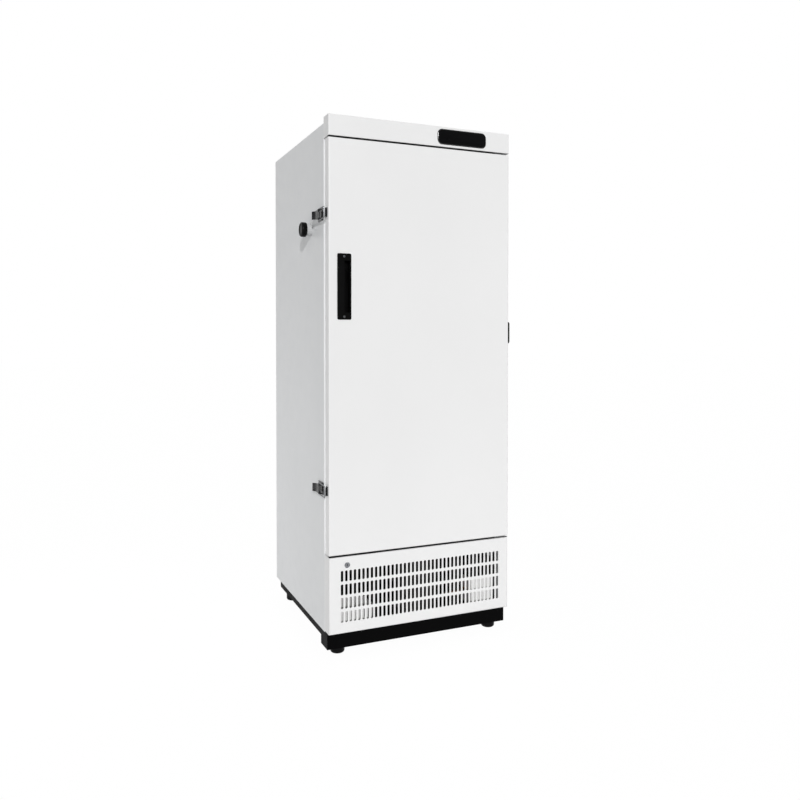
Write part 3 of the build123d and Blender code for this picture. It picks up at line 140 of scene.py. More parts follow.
class FreezerSizes(bpy.types.PropertyGroup):
    """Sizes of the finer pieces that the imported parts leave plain."""

    moulded_edge: length("Moulded edge", "Rounding of the moulded plastic pieces' edges", 1.2, 0.2, 5)
    housing_step: length("Housing step", "Step of the display's housing behind the header", 10, 2, 20)
    rim_width: length("Rim width", "Width of the display's raised rim", 4, 1, 10)
    rim_depth: length("Rim depth", "Depth of the recess that holds the display's window", 2, 0.5, 3)
    bezel_corner: length("Bezel corner", "Corner radius of the display's bezel", 18, 2, 27)
    pane_lift: length("Pane lift", "How far the window stands in front of its packed face", 0.1, 0, 0.3)
    pane_edge: length("Pane edge", "Rounding of the window's front edge", 0.5, 0.1, 1)
    handle_corner: length("Handle corner", "Corner radius of the handle's plate", 5, 1, 20)
    handle_lip: length(
        "Handle lip", "How far the handle's plate overlaps its hole, and its tub's wall", 2.5, 1, 8)
    pocket_side: length(
        "Pocket side", "Distance from the handle's inner edge to its finger pocket", 5, 1, 30)
    pocket_width: length("Pocket width", "Width of the handle's finger pocket", 20, 5, 40)
    pocket_end: length(
        "Pocket end", "Height of the handle's plate above and below its finger pocket", 24, 5, 60)
    lip_depth: length("Lip depth", "Thickness of the handle's lip, in front of the undercut", 9, 2, 20)
    grip_undercut: length(
        "Grip undercut", "How far the finger pocket reaches behind the handle's lip", 14, 0, 20)
    screw_inset: length("Screw inset", "Distance of the handle's screws from its ends", 10, 6, 20)
    screw_seat: length("Screw seat", "Width of the seats of the handle's screws", 9, 4, 12)
    screw_depth: length("Screw depth", "Depth of the seats of the handle's screws", 1.6, 1.2, 3)
    screw_head: length("Screw head", "Thickness of the handle screws' heads", 1, 0.5, 1.5)
    screw_gap: length("Screw gap", "Room between a screw's head and its seat", 0.3, 0.1, 1)
    head_edge: length("Head edge", "Rounding of the handle screws' heads", 0.4, 0.1, 0.5)
    cross_length: length("Cross length", "Length of the slots in the screws' heads", 4, 2, 6)
    cross_width: length("Cross width", "Width of the slots in the screws' heads", 0.9, 0.4, 1.5)
    cross_depth: length("Cross depth", "Depth of the slots in the screws' heads", 0.5, 0.2, 0.8)
    tub_height: length("Tub height", "Height of the electrical box's pale lower half", 100, 20, 140)
    cover_step: length("Cover step", "How far the electrical box's front plate stands out", 3, 1, 10)
    plate_inset: length(
        "Plate inset", "Distance of the electrical box's front plate from the cover's edges", 3, 2, 30)
    plate_seat: length("Plate seat", "How far the front plate reaches into the cover", 0.5, 0.1, 2)
    cover_corner: length("Cover corner", "Corner radius of the electrical box and its plate", 5, 1, 20)
    cover_gap: length("Cover gap", "Gap between the electrical box's tub and its cover", 1, 0.2, 3)
    barrel_rim: length("Barrel rim", "Width of the lock barrel's rim", 2.2, 1, 4)
    barrel_recess: length("Barrel recess", "Depth of the lock barrel's face behind its rim", 1.2, 0.5, 2)
    barrel_edge: length("Barrel edge", "Rounding of the lock barrel's edges", 0.5, 0.1, 1)
    # The key slot is a flat black inlay of painted shade, not a hole
    key_slot_depth: length("Key slot depth", "How far the key slot's inlay reaches in", 0.5, 0.1, 2)
    barrel_taper: amount(
        "Barrel taper", "Share of the lock barrel's width behind the panel's face", 0.88, 0.7, 1)
    key_slot_width: length("Key slot width", "Width of the lock's key slot", 2.4, 1, 4)
    key_slot_height: length("Key slot height", "Height of the lock's key slot", 8, 4, 10)
    smooth_bend: tilt("Smooth bend", "Largest bend between two faces that is still shaded smooth", 62)
    # Painted shade: the black strips stand in for the shade in the gaps over and under the door
    strip_thickness: length(
        "Strip thickness", "Thickness of the black strips in the gaps over and under the door", 0.6, 0.2, 3)
    strip_margin: length("Strip margin", "How far the black strips keep from edges and hinges", 1, 0.5, 3)
    slot_columns: count("Slot columns", "Slots side by side in the grille", 40, 1, 80)
    slot_rows: count("Slot rows", "Rows of slots in the grille", 4, 1, 8)
    slot_pitch: length("Slot pitch", "Distance between slots side by side", 15.6, 9, 40)
    slot_row_pitch: length("Slot row pitch", "Distance between rows of slots", 46.6, 38, 80)
    slot_first_row: length(
        "First slot row", "Height of the middle of the lowest row of slots", 142.2, 100, 300)
    slot_width: length("Slot width", "Width of the packed slots", 7.8, 2, 15)
    slot_height: length("Slot height", "Height of the packed slots", 36, 5, 60)
    slot_growth: length("Slot growth", "How much wider and higher the finished slots are", 1.4, 0, 2)
    bore_width: length("Bore width", "Bore of the side port", 30, 10, 38)
    plug_gap: length("Plug gap", "Room between the stopper's plug and the bore", 0.5, 0, 3)
    knob_edge: length("Knob edge", "Rounding of the stopper's outer edge", 5, 1, 15)
    knob_inner_edge: length("Knob inner edge", "Rounding of the stopper's inner rim and plug end", 2, 0.5, 4)
    knob_seat: length("Knob seat", "Room between the stopper's knob and the collar", 0.3, 0.1, 1)
    dish_rim: length("Dish rim", "Width of the rim round the stopper's and the feet's dished faces", 3, 1, 6)
    knob_dish: length("Knob dish", "Depth of the stopper's dished face", 1.5, 0.5, 4)
    collar_edge: length("Collar edge", "Rounding of the port collar's edges", 0.8, 0.2, 2)
    loop_wire: length("Loop wire", "Thickness of the latch loops' wire", 3.4, 1, 5)
    loop_stub: length("Loop stub", "Half of the gap between the two ends of a latch loop", 10.2, 2, 15)
    box_corner: length("Box corner", "Corner radius of the side box", 8, 1, 30)
    box_edge: length("Box edge", "Rounding of the side box's outer edge", 5, 1, 20)
    box_seam: length("Box seam", "Distance of the side box's lid seam from the panel", 12, 2, 35)
    seam_width: length("Seam width", "Half of the width of the side box's lid seam", 0.6, 0.2, 2)
    foot_edge: length("Foot edge", "Rounding of the feet's lower edge", 8, 1, 15)
    foot_top_edge: length("Foot top edge", "Rounding of the feet's upper edge", 2, 0.5, 4)
    foot_dish: length("Foot dish", "Depth of the feet's dished soles", 1, 0.5, 3)


class FreezerStudio(bpy.types.PropertyGroup):
    """Camera, lamps and floor."""

    camera_place: spot("Camera place", "Where the camera stands", (-1.1614, -2.8308, 1.1111))
    camera_yaw: tilt("Camera yaw", "Turn of the camera from straight ahead towards the right", 23.41)
    camera_pitch: tilt("Camera pitch", "Tilt of the camera below the horizon", 1.12)
    camera_lens: amount("Lens", "Focal length on a 36 mm sensor", 34.74, 10, 200)
    axis_row: amount("Axis row", "Row of the photograph that the camera's axis meets", 348, 0, PHOTO_PIXELS)
    key_strength: amount("Key strength", "Strength of the key light", 2.34, 0, 20)
    fill_strength: amount("Fill strength", "Strength of the even light from all round", 0.315, 0, 5)
    key_turn: tilt("Key turn", "How far to the left of the front the key light stands", 18)
    key_height: tilt("Key height", "How far above the horizon the key light stands", 18)
    key_width: tilt("Key width", "How wide the key light looks, which softens its shadows", 3)
    floor_glow: amount("Floor glow", "How bright the camera sees the floor, where 1 is white", 1.04, 0, 1.2)
    bounce_power: amount("Bounce power", "Power of the soft lamp low on the left, in watts", 5.5, 0, 100)
    bounce_size: amount("Bounce size", "Width of the soft lamp", 1.2, 0.1, 5)
    bounce_place: spot(
        "Bounce place", "Place of the soft lamp, sideways counted from the left side", (-1.4, 0.25, 0.1))
    floor_size: amount("Floor size", "Width of the floor", 60, 5, 200)
    floor_shade: amount("Floor shade", "Lightness of the floor where light falls on it", 0.75, 0, 1)
    floor_cover: amount("Floor cover", "Share of plain white in the floor that the camera sees", 0.93, 0, 1)


# Node tools for the finishes


def open_material(name):
    """A new node material, with its tree and shader."""
    material = bpy.data.materials.new(name)
    material.use_nodes = True
    tree = material.node_tree
    return material, tree, tree.nodes["Principled BSDF"]


def set_inputs(node, **values):
    """Sets inputs of a node by their names, with _ for each space."""
    for name, value in values.items():
        node.inputs[name.replace("_", " ")].default_value = value


def texture(tree, kind, scale, stretch=(1, 1, 1), **settings):
    """A texture node on the piece's own coordinates, which a stretch squeezes along an axis."""
    place = tree.nodes.new("ShaderNodeTexCoord")
    mapping = tree.nodes.new("ShaderNodeMapping")
    mapping.inputs["Scale"].default_value = stretch
    tree.links.new(place.outputs["Object"], mapping.inputs["Vector"])
    node = tree.nodes.new(kind)
    for name, value in settings.items():
        if name in node.inputs:
            node.inputs[name].default_value = value
        else:
            setattr(node, name, value)
    node.inputs["Scale"].default_value = scale
    tree.links.new(mapping.outputs["Vector"], node.inputs["Vector"])
    return node


def noise(tree, scale, stretch=(1, 1, 1), **settings):
    """The value of a noise texture."""
    return texture(tree, "ShaderNodeTexNoise", scale, stretch, **settings).outputs["Fac"]


def spread(tree, source, low, high, start=0.3, end=0.7):
    """A value or colour that runs from low to high as the source goes from start to end."""
    ramp = tree.nodes.new("ShaderNodeValToRGB")
    ramp.color_ramp.elements[0].position = start
    ramp.color_ramp.elements[1].position = end
    for element, value in zip(ramp.color_ramp.elements, (low, high)):
        shade = (value, value, value) if isinstance(value, float) else tuple(value)[:3]
        element.color = (*shade, 1)
    tree.links.new(source, ramp.inputs["Fac"])
    return ramp.outputs["Color"]


def combine(tree, operation, first, second):
    """The result of a calculation with a socket and a second socket or number."""
    node = tree.nodes.new("ShaderNodeMath")
    node.operation = operation
    tree.links.new(first, node.inputs[0])
    if isinstance(second, bpy.types.NodeSocket):
        tree.links.new(second, node.inputs[1])
    else:
        node.inputs[1].default_value = second
    return node.outputs["Value"]


def blend_colour(tree, factor, first, second):
    """A mix of two colours or sockets by a factor socket."""
    mix = tree.nodes.new("ShaderNodeMix")
    mix.data_type = "RGBA"
    tree.links.new(factor, mix.inputs["Factor"])
    for value, socket in ((first, mix.inputs[6]), (second, mix.inputs[7])):
        if isinstance(value, bpy.types.NodeSocket):
            tree.links.new(value, socket)
        else:
            socket.default_value = (*tuple(value)[:3], 1)
    return mix.outputs[2]


def raise_surface(tree, shader, layers):
    """Bumps the shader's normal by pairs of height socket and depth in metres."""
    last = None
    for height, depth in layers:
        bump = tree.nodes.new("ShaderNodeBump")
        set_inputs(bump, Strength=1, Distance=depth)
        tree.links.new(height, bump.inputs["Height"])
        if last is not None:
            tree.links.new(last.outputs["Normal"], bump.inputs["Normal"])
        last = bump
    tree.links.new(last.outputs["Normal"], shader.inputs["Normal"])


def drive(tree, source, shader, socket, *ends):
    """Drives a socket of the shader by a ramp over the source."""
    tree.links.new(spread(tree, source, *ends), shader.inputs[socket])


def shaded(colour, share):
    """A colour made lighter or darker by a share."""
    return tuple(min(1.0, part * share) for part in tuple(colour)[:3])


def powder_coat(name, colour, roughness=0.38, wear=0.03, specular=0.3):
    """Baked powder coat: a faint orange peel, slow drifts of tone and a little dust near the floor."""
    material, tree, shader = open_material(name)
    drift = noise(tree, 1.6, (1, 1, 0.5), Detail=3.0)
    toned = spread(tree, drift, shaded(colour, 1 - wear), shaded(colour, 1 + wear / 3))
    low = noise(tree, 22, Detail=6.0)
    place = tree.nodes.new("ShaderNodeTexCoord")
    split = tree.nodes.new("ShaderNodeSeparateXYZ")
    tree.links.new(place.outputs["Object"], split.inputs["Vector"])
    near_floor = spread(tree, split.outputs["Z"], 1.0, 0.0, start=0.08, end=0.5)
    smudge = combine(tree, "MULTIPLY", near_floor, spread(tree, low, 0.0, 0.12, start=0.45, end=0.75))
    dusty = blend_colour(tree, smudge, toned, shaded(colour, 0.86))
    tree.links.new(dusty, shader.inputs["Base Color"])
    drive(tree, low, shader, "Roughness", roughness - 0.05, roughness + 0.08)
    peel = noise(tree, 520, Detail=2.0)
    wave = noise(tree, 9, (1, 1, 0.6), Detail=1.0)
    raise_surface(tree, shader, [(wave, 0.0006), (peel, 0.00003)])
    set_inputs(shader, Specular_IOR_Level=specular)
    return material


def moulded(name, colour, roughness=0.45, grain=700, depth=0.00004, specular=0.25, dust=0.0, uneven=0.15):
    """Moulded plastic or rubber: a fine spark-eroded grain, uneven gloss and a trace of dust."""
    material, tree, shader = open_material(name)
    drift = noise(tree, 14, Detail=4.0)
    light = tuple(part + dust for part in tuple(colour)[:3])
    drive(tree, drift, shader, "Base Color", shaded(colour, 1 - uneven), light)
    drive(tree, drift, shader, "Roughness", roughness - 0.08, roughness + 0.08)
    skin = texture(tree, "ShaderNodeTexVoronoi", grain)
    raise_surface(tree, shader, [(skin.outputs["Distance"], depth)])
    set_inputs(shader, Specular_IOR_Level=specular)
    return material


def zinc_coat(name, colour):
    """Galvanised sheet: large pale spangles, each with its own gloss, under fine rolling marks."""
    material, tree, shader = open_material(name)
    crystals = texture(tree, "ShaderNodeTexVoronoi", 75)
    split = tree.nodes.new("ShaderNodeSeparateColor")
    tree.links.new(crystals.outputs["Color"], split.inputs["Color"])
    drive(tree, split.outputs["Red"], shader, "Base Color",
          shaded(colour, 0.93), shaded(colour, 1.06), 0.0, 1.0)
    drive(tree, split.outputs["Green"], shader, "Roughness", 0.42, 0.54, 0.0, 1.0)
    marks = noise(tree, 60, (1, 1, 14), Detail=3.0)
    raise_surface(tree, shader, [(marks, 0.00004)])
    set_inputs(shader, Metallic=0.75)
    return material


def plated(name, colour, roughness=0.3, metallic=1.0, scratches=180, stretch=(1, 1, 1), uneven=0.3):
    """Plated or polished metal: fine scratches, handling marks and dulled patches."""
    material, tree, shader = open_material(name)
    patches = noise(tree, 60, Detail=5.0)
    drive(tree, patches, shader, "Base Color",
          shaded(colour, 1 - uneven), shaded(colour, 1 + uneven / 2))
    lines = noise(tree, scratches, stretch, Detail=4.0)
    drive(tree, lines, shader, "Roughness", roughness - 0.08, roughness + 0.12)
    raise_surface(tree, shader, [(lines, 0.00002)])
    set_inputs(shader, Metallic=metallic)
    return material


def stucco_liner(name, colour):
    """Embossed liner sheet: a small pebbled pattern under a satin coat."""
    material, tree, shader = open_material(name)
    drift = noise(tree, 3, Detail=2.0)
    drive(tree, drift, shader, "Base Color", shaded(colour, 0.96), shaded(colour, 1.01))
    pebbles = texture(tree, "ShaderNodeTexVoronoi", 240, feature="SMOOTH_F1")
    raise_surface(tree, shader, [(pebbles.outputs["Distance"], 0.00035)])
    drive(tree, pebbles.outputs["Distance"], shader, "Roughness", 0.3, 0.45)
    return material


def rigid_foam(name):
    """Cut polyurethane foam: cream, with open cells."""
    material, tree, shader = open_material(name)
    cells = texture(tree, "ShaderNodeTexVoronoi", 420)
    drive(tree, cells.outputs["Distance"], shader, "Base Color",
          (0.55, 0.44, 0.22), (0.78, 0.70, 0.45), 0.0, 0.6)
    set_inputs(shader, Roughness=0.9)
    raise_surface(tree, shader, [(cells.outputs["Distance"], 0.0006)])
    return material


def circuit_board(name):
    """Green solder mask with darker tracks."""
    material, tree, shader = open_material(name)
    tracks = texture(tree, "ShaderNodeTexBrick", 90)
    drive(tree, tracks.outputs["Fac"], shader, "Base Color",
          (0.01, 0.10, 0.04), (0.02, 0.22, 0.09), 0.0, 1.0)
    set_inputs(shader, Roughness=0.35)
    return material


def dark_glass(name):
    """The display's smoked window: deep black with a soft gloss and faint wipe marks."""
    material, tree, shader = open_material(name)
    wipes = noise(tree, 30, (1, 1, 5), Detail=4.0)
    drive(tree, wipes, shader, "Base Color", (0.001, 0.001, 0.0012), (0.002, 0.002, 0.0024))
    drive(tree, wipes, shader, "Roughness", 0.12, 0.22)
    set_inputs(shader, Specular_IOR_Level=0.05)
    return material


def make_finishes(colours):
    """All finishes by name."""
    return {
        "door": powder_coat("door_powder_coat", colours.door_white),
        # Painted shade: a darker copy of the door's powder coat for the sides and the top
        "side": powder_coat("side_powder_coat", colours.side_white_painted_shade),
        "liner": stucco_liner("stucco_liner", colours.liner_white),
        "base": powder_coat("base_black_coat", colours.base_black, 0.5, 0.2, 0.03),
        # Roughness, grains per metre, depth of the grain in metres, specular level and dust
        "machine": moulded("machine_black", colours.base_black, 0.5, 260, 0.00005, 0.06, 0.003),
        "plastic": moulded("moulded_black", colours.plastic_black, 0.3, 900, 0.00002, 0.05),
        "rubber": moulded("black_rubber", colours.rubber_black, 0.36, 500, 0.00002, 0.08, 0.001),
        "gasket": moulded("gasket_vinyl", colours.gasket_white, 0.5, 600, 0.00002),
        "cream": moulded("moulded_white", colours.liner_white, 0.35, 900, 0.00002, uneven=0.03),
        # Painted shade: the near black frame darkens the gaps over and under the door
        "frame": moulded("frame_grey_plastic", colours.frame_grey, 0.45, 700, 0.00003),
        # Painted shade: the collar's colour is darkened to cancel the light falling on it
        "collar": moulded("collar_plastic", colours.collar_grey_painted_shade, 0.3, 900, 0.00002),
        "gloss": moulded("glossy_black", colours.plastic_black, 0.15, 1200, 0.000002, 0.4),
        "pale": moulded("moulded_pale_grey", colours.pale_grey, 0.45, 700, 0.00003),
        "zinc": zinc_coat("galvanised_sheet", colours.zinc_grey),
        # Roughness, metallic share and scratches per metre
        "latch": plated("latch_plating", shaded(colours.latch_grey, 0.6), 0.24, 0.9, uneven=0.6),
        "steel": plated("bright_zinc_plating", shaded(colours.zinc_grey, 1.2), 0.3),
        "screw": plated("screw_plating", shaded(colours.latch_grey, 2.5), 0.3, 0.9),
        "dark_latch": plated("dark_latch_plating", shaded(colours.latch_grey, 0.4), 0.3, 0.9),
        "wire": plated("latch_wire", shaded(colours.latch_grey, 6), 0.28),
        "lock": plated("lock_chrome", shaded(colours.latch_grey, 8), 0.2),
        "tube": plated("drawn_aluminium", (0.66, 0.68, 0.70), 0.36, 1.0, 90, (1, 1, 6), uneven=0.08),
        "copper": plated("drawn_copper", colours.copper_red, 0.34),
        "foam": rigid_foam("rigid_foam"),
        "board": circuit_board("circuit_board"),
        "glass": dark_glass("smoked_window"),
    }


NODE_FINISHES = {
    "door": ["door_shell", "header_fascia"],
    "side": ["left_side_panel", "right_side_panel", "top_panel"],
    "frame": ["front_frame"],
    "liner": ["inner_liner"],
    "cream": ["door_liner"],
    # The tray's black paint is partly painted shade: it darkens the compartment seen through the slots
    "base": ["base_frame", "machine_tray"],
    "machine": ["condenser", "fan_shroud"],
    "plastic": ["power_inlet", "hinge_bushes"],
    "rubber": ["compressor_grommets"],
    "gasket": ["door_gasket"],
    "pale": ["drain_pan"],
    "zinc": ["back_panel", "rear_service_grille"],
    "latch": ["upper_latch_base", "lower_latch_base", "upper_latch_lever", "lower_latch_lever"],
    "lock": ["lock_cylinder"],
    "dark_latch": ["upper_latch_keeper", "lower_latch_keeper"],
    "steel": ["upper_hinge", "lower_hinge", "cabinet_screws"],
    "tube": ["shelf_standards"],
    "foam": ["insulation", "door_foam"],
    "board": ["control_board"],
}
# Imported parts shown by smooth-shaded copies: body, finish and slot
ROUND_NODES = {
    **{f"evaporator_shelf_{number}": ("cabinet", "tube", "aluminium_tube") for number in range(1, 6)},
    "suction_riser": ("cabinet", "copper", "copper"),
    "refrigerant_pipes": ("cabinet", "copper", "copper"),
    "drier_filter": ("cabinet", "copper", "copper"),
    "compressor": ("cabinet", "machine", "black_paint"),
    "fan_motor": ("cabinet", "machine", "black_paint"),
    "fan_blades": ("fan", "machine", "black_plastic"),
}
FINISHES = {}


# Modelling tools


def pick_none():
    """Deselects every object."""
    bpy.ops.object.select_all(action="DESELECT")


def pick_alone(piece):
    """Makes a piece the only selected one, and the active one."""
    pick_none()
    piece.select_set(True)
    bpy.context.view_layer.objects.active = piece


def begin_edit(piece):
    """Opens a piece alone in edit mode."""
    pick_alone(piece)
    bpy.ops.object.mode_set(mode="EDIT")


def end_edit():
    """Back to object mode."""
    bpy.ops.object.mode_set(mode="OBJECT")


def pick_all():
    """Selects the whole piece, in edit mode."""
    bpy.ops.mesh.select_all(action="SELECT")


def pick(piece, kind, parts, test):
    """Selects, in edit mode, the parts of one kind that pass the test."""
    bpy.ops.mesh.select_mode(type=kind)
    bpy.ops.mesh.select_all(action="DESELECT")
    mesh = bmesh.from_edit_mesh(piece.data)
    for part in getattr(mesh, parts):
        part.select_set(bool(test(part)))
    bmesh.update_edit_mesh(piece.data)


def pick_faces(piece, test):
    """Selects the faces whose centre and normal pass the test."""
    pick(piece, "FACE", "faces", lambda face: test(face.calc_center_median(), face.normal))


def pick_edges(piece, test):
    """Selects the edges whose two ends pass the test."""
    pick(piece, "EDGE", "edges", lambda edge: test(edge.verts[0].co, edge.verts[1].co))


def pick_points(piece, test):
    """Selects the points that pass the test."""
    pick(piece, "VERT", "verts", lambda point: test(point.co))


def facing(axis, side, level):
    """A test for faces at a level of an axis that look along it, to side 1 or -1."""
    return lambda centre, normal: side * normal[axis] > ALIGNED and near(centre[axis], level)


def along(axis):
    """A test for edges that run along an axis."""
    others = [index for index in (X, Y, Z) if index != axis]
    return lambda a, b: all(near(a[index], b[index]) for index in others)


def at_level(axis, level):
    """A test for edges with both ends at a level of an axis."""
    return lambda a, b: near(a[axis], level) and near(b[axis], level)


def extrude(x=0, y=0, z=0):
    """Extrudes what is selected by a step."""
    bpy.ops.mesh.extrude_region_move(TRANSFORM_OT_translate={"value": (x, y, z)})


def step_face(piece, test, width, **step):
    """Insets the faces that pass the test, then extrudes them by a step."""
    begin_edit(piece)
    pick_faces(piece, test)
    bpy.ops.mesh.inset(thickness=width, depth=0)
    extrude(**step)
    end_edit()


def new_block(name, low, high):
    """A block between two corners, with its place in its mesh."""
    pick_none()
    low, high = Vector(low), Vector(high)
    bpy.ops.mesh.primitive_cube_add(size=1, location=(low + high) / 2, scale=high - low)
    return settle_place(name)


def new_round(name, centre, axis, radius, depth, sides=FINE_SIDES):
    """A round bar about a centre, along an axis, with its place in its mesh."""
    pick_none()
    turn = Vector(axis).to_track_quat("Z", "Y").to_euler()
    bpy.ops.mesh.primitive_cylinder_add(vertices=sides, radius=radius, depth=depth, location=centre,
                                        rotation=turn)
    return settle_place(name)


def settle_place(name):
    """Names the active object and moves its place into its mesh."""
    piece = bpy.context.active_object
    piece.name = name
    piece.data.name = name
    bpy.ops.object.transform_apply(location=True, rotation=True, scale=True)
    return piece


def bevel_edges(piece, test, width, steps=4):
    """Rounds the edges whose two ends pass the test."""
    begin_edit(piece)
    pick_edges(piece, test)
    bpy.ops.mesh.bevel(offset=width, offset_type="OFFSET", segments=steps, profile=0.5, affect="EDGES")
    end_edit()


def reshape(piece, kind, **settings):
    """Applies a modifier to a piece."""
    pick_alone(piece)
    change = piece.modifiers.new(kind.title(), kind)
    for name, value in settings.items():
        setattr(change, name, value)
    bpy.ops.object.modifier_apply(modifier=change.name)


def soften(piece, width, angle=30):
    """Rounds every edge that is sharper than an angle in degrees."""
    reshape(piece, "BEVEL", width=width, segments=3, limit_method="ANGLE", angle_limit=radians(angle))


def cut_away(piece, tool):
    """Takes a tool's shape out of a piece, and the tool out of the scene."""
    reshape(piece, "BOOLEAN", operation="DIFFERENCE", solver="EXACT", object=tool)
    bpy.data.objects.remove(tool, do_unlink=True)


def add_object(name, data):
    """A new object in the scene."""
    thing = bpy.data.objects.new(name, data)
    bpy.context.scene.collection.objects.link(thing)
    return thing


def joined_copy(node, name):
    """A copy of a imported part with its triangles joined, so that its rounds can be shaded smooth."""
    pick_none()
    piece = add_object(name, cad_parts[node].data.copy())
    begin_edit(piece)
    pick_all()
    bpy.ops.mesh.remove_doubles(threshold=HAIR / 10)
    end_edit()
    return piece


def put_on(piece, body, finish, slot, *nodes, angle=35):
    """Gives a finished piece its finish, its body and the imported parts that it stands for."""
    piece.data.materials.clear()
    piece.data.materials.append(FINISHES[finish])
    pick_alone(piece)
    bpy.ops.object.shade_smooth_by_angle(angle=radians(angle))
    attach(piece, body)
    if nodes:
        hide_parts(*nodes)
    return piece


def near(value, target):
    """True where two lengths agree."""
    return abs(value - target) < 2 * HAIR


class FREEZER_OT_finishes(bpy.types.Operator):
    """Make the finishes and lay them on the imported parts"""

    bl_idname = "freezer.finishes"
    bl_label = "Finishes"

    def execute(self, context):
        FINISHES.update(make_finishes(context.scene.freezer_finishes))
        for finish, nodes in NODE_FINISHES.items():
            for node in nodes:
                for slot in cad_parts[node].material_slots:
                    slot.link = "OBJECT"
                    slot.material = FINISHES[finish]
        return {"FINISHED"}


class FREEZER_OT_display(bpy.types.Operator):
    """Add the display's bezel with its raised rim, and the smoked window"""

    bl_idname = "freezer.display"
    bl_label = "Display"

    def execute(self, context):
        sizes = context.scene.freezer_sizes
        low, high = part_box("display_bezel")
        low.y += RING_SWELL
        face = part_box("header_fascia")[0].y
        housing = new_block("display_housing", low, (high.x, face, high.z))
        step_face(housing, facing(Y, 1, face), sizes.housing_step, y=high.y - face)
        bevel_edges(housing, lambda a, b: along(Y)(a, b) and near(min(a.y, b.y), low.y),
                    sizes.bezel_corner, steps=8)
        bevel_edges(housing, at_level(Y, low.y), sizes.moulded_edge, steps=3)
        step_face(housing, facing(Y, -1, low.y), sizes.rim_width - sizes.moulded_edge, y=sizes.rim_depth)
        put_on(housing, "cabinet", "gloss", "black_plastic", "display_bezel")

        low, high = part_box("display_window")
        low.y -= sizes.pane_lift
        window = new_block("display_window_pane", low, high)
        bevel_edges(window, along(Y), sizes.bezel_corner - sizes.rim_width, steps=8)
        bevel_edges(window, at_level(Y, low.y), sizes.pane_edge, steps=2)
        put_on(window, "cabinet", "glass", "black_gloss", "display_window")
        return {"FINISHED"}


class FREEZER_OT_handle(bpy.types.Operator):
    """Add the moulded handle with its undercut finger pocket, and its two screws"""

    bl_idname = "freezer.handle"
    bl_label = "Handle"

    def execute(self, context):
        sizes = context.scene.freezer_sizes
        low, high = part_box("door_handle")
        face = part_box("door_shell")[0].y
        right = high.x - sizes.pocket_side
        pocket_low = Vector((right - sizes.pocket_width, low.y, low.z + sizes.pocket_end))
        pocket_high = Vector((right, high.y, high.z - sizes.pocket_end))
        handle = new_block("door_handle_moulding", low, (high.x, face, high.z))
        bevel_edges(handle, along(Y), sizes.handle_corner, steps=5)
        bevel_edges(handle, at_level(Y, low.y), sizes.moulded_edge, steps=3)
        step_face(handle, facing(Y, 1, face), sizes.handle_lip, y=high.y - face)
        begin_edit(handle)
        for plane in ((1, 0, 0), (0, 0, 1)):
            for place in (pocket_low, pocket_high):
                pick_faces(handle, facing(Y, -1, low.y))
                bpy.ops.mesh.bisect(plane_co=place, plane_no=plane)

        def in_pocket(centre):
            return pocket_low.x < centre.x < pocket_high.x and pocket_low.z < centre.z < pocket_high.z

        pick_faces(handle, lambda centre, normal: in_pocket(centre) and near(centre.y, low.y))
        floor = high.y - sizes.handle_lip
        for depth in (sizes.lip_depth, floor - low.y - sizes.lip_depth):
            extrude(y=depth)
        grip = low.y + sizes.lip_depth
        pick_faces(handle, lambda centre, normal: abs(normal.x) > ALIGNED and near(centre.x, pocket_low.x)
                   and grip < centre.y < floor)
        extrude(x=-sizes.grip_undercut)
        end_edit()
        middle = (low.x + high.x) / 2
        for height in (low.z + sizes.screw_inset, high.z - sizes.screw_inset):
            seat = new_round("screw_seat", (middle, low.y, height), (0, -1, 0), sizes.screw_seat / 2,
                             2 * sizes.screw_depth, SCREW_SIDES)
            cut_away(handle, seat)
            self.add_screw(sizes, Vector((middle, low.y + sizes.screw_depth - sizes.screw_head, height)))
        put_on(handle, "door", "plastic", "black_plastic", "door_handle", "handle_screws")
        return {"FINISHED"}

    def add_screw(self, sizes, top):
        """A crosshead screw, with the middle of its head's face at the top."""
        centre = top + Vector((0, sizes.screw_head / 2, 0))
        screw = new_round(f"handle_screw_{round(top.z / MM)}", centre, (0, -1, 0),
                          sizes.screw_seat / 2 - sizes.screw_gap, sizes.screw_head, SCREW_SIDES)
        bevel_edges(screw, at_level(Y, top.y), sizes.head_edge, steps=2)
        for turn in (0, pi / 2):
            pick_none()
            bpy.ops.mesh.primitive_cube_add(
                size=1, location=top, rotation=(0, turn, 0),
                scale=(sizes.cross_length, 2 * sizes.cross_depth, sizes.cross_width))
            cut_away(screw, settle_place("cross"))
        put_on(screw, "door", "screw", "chrome", angle=30)


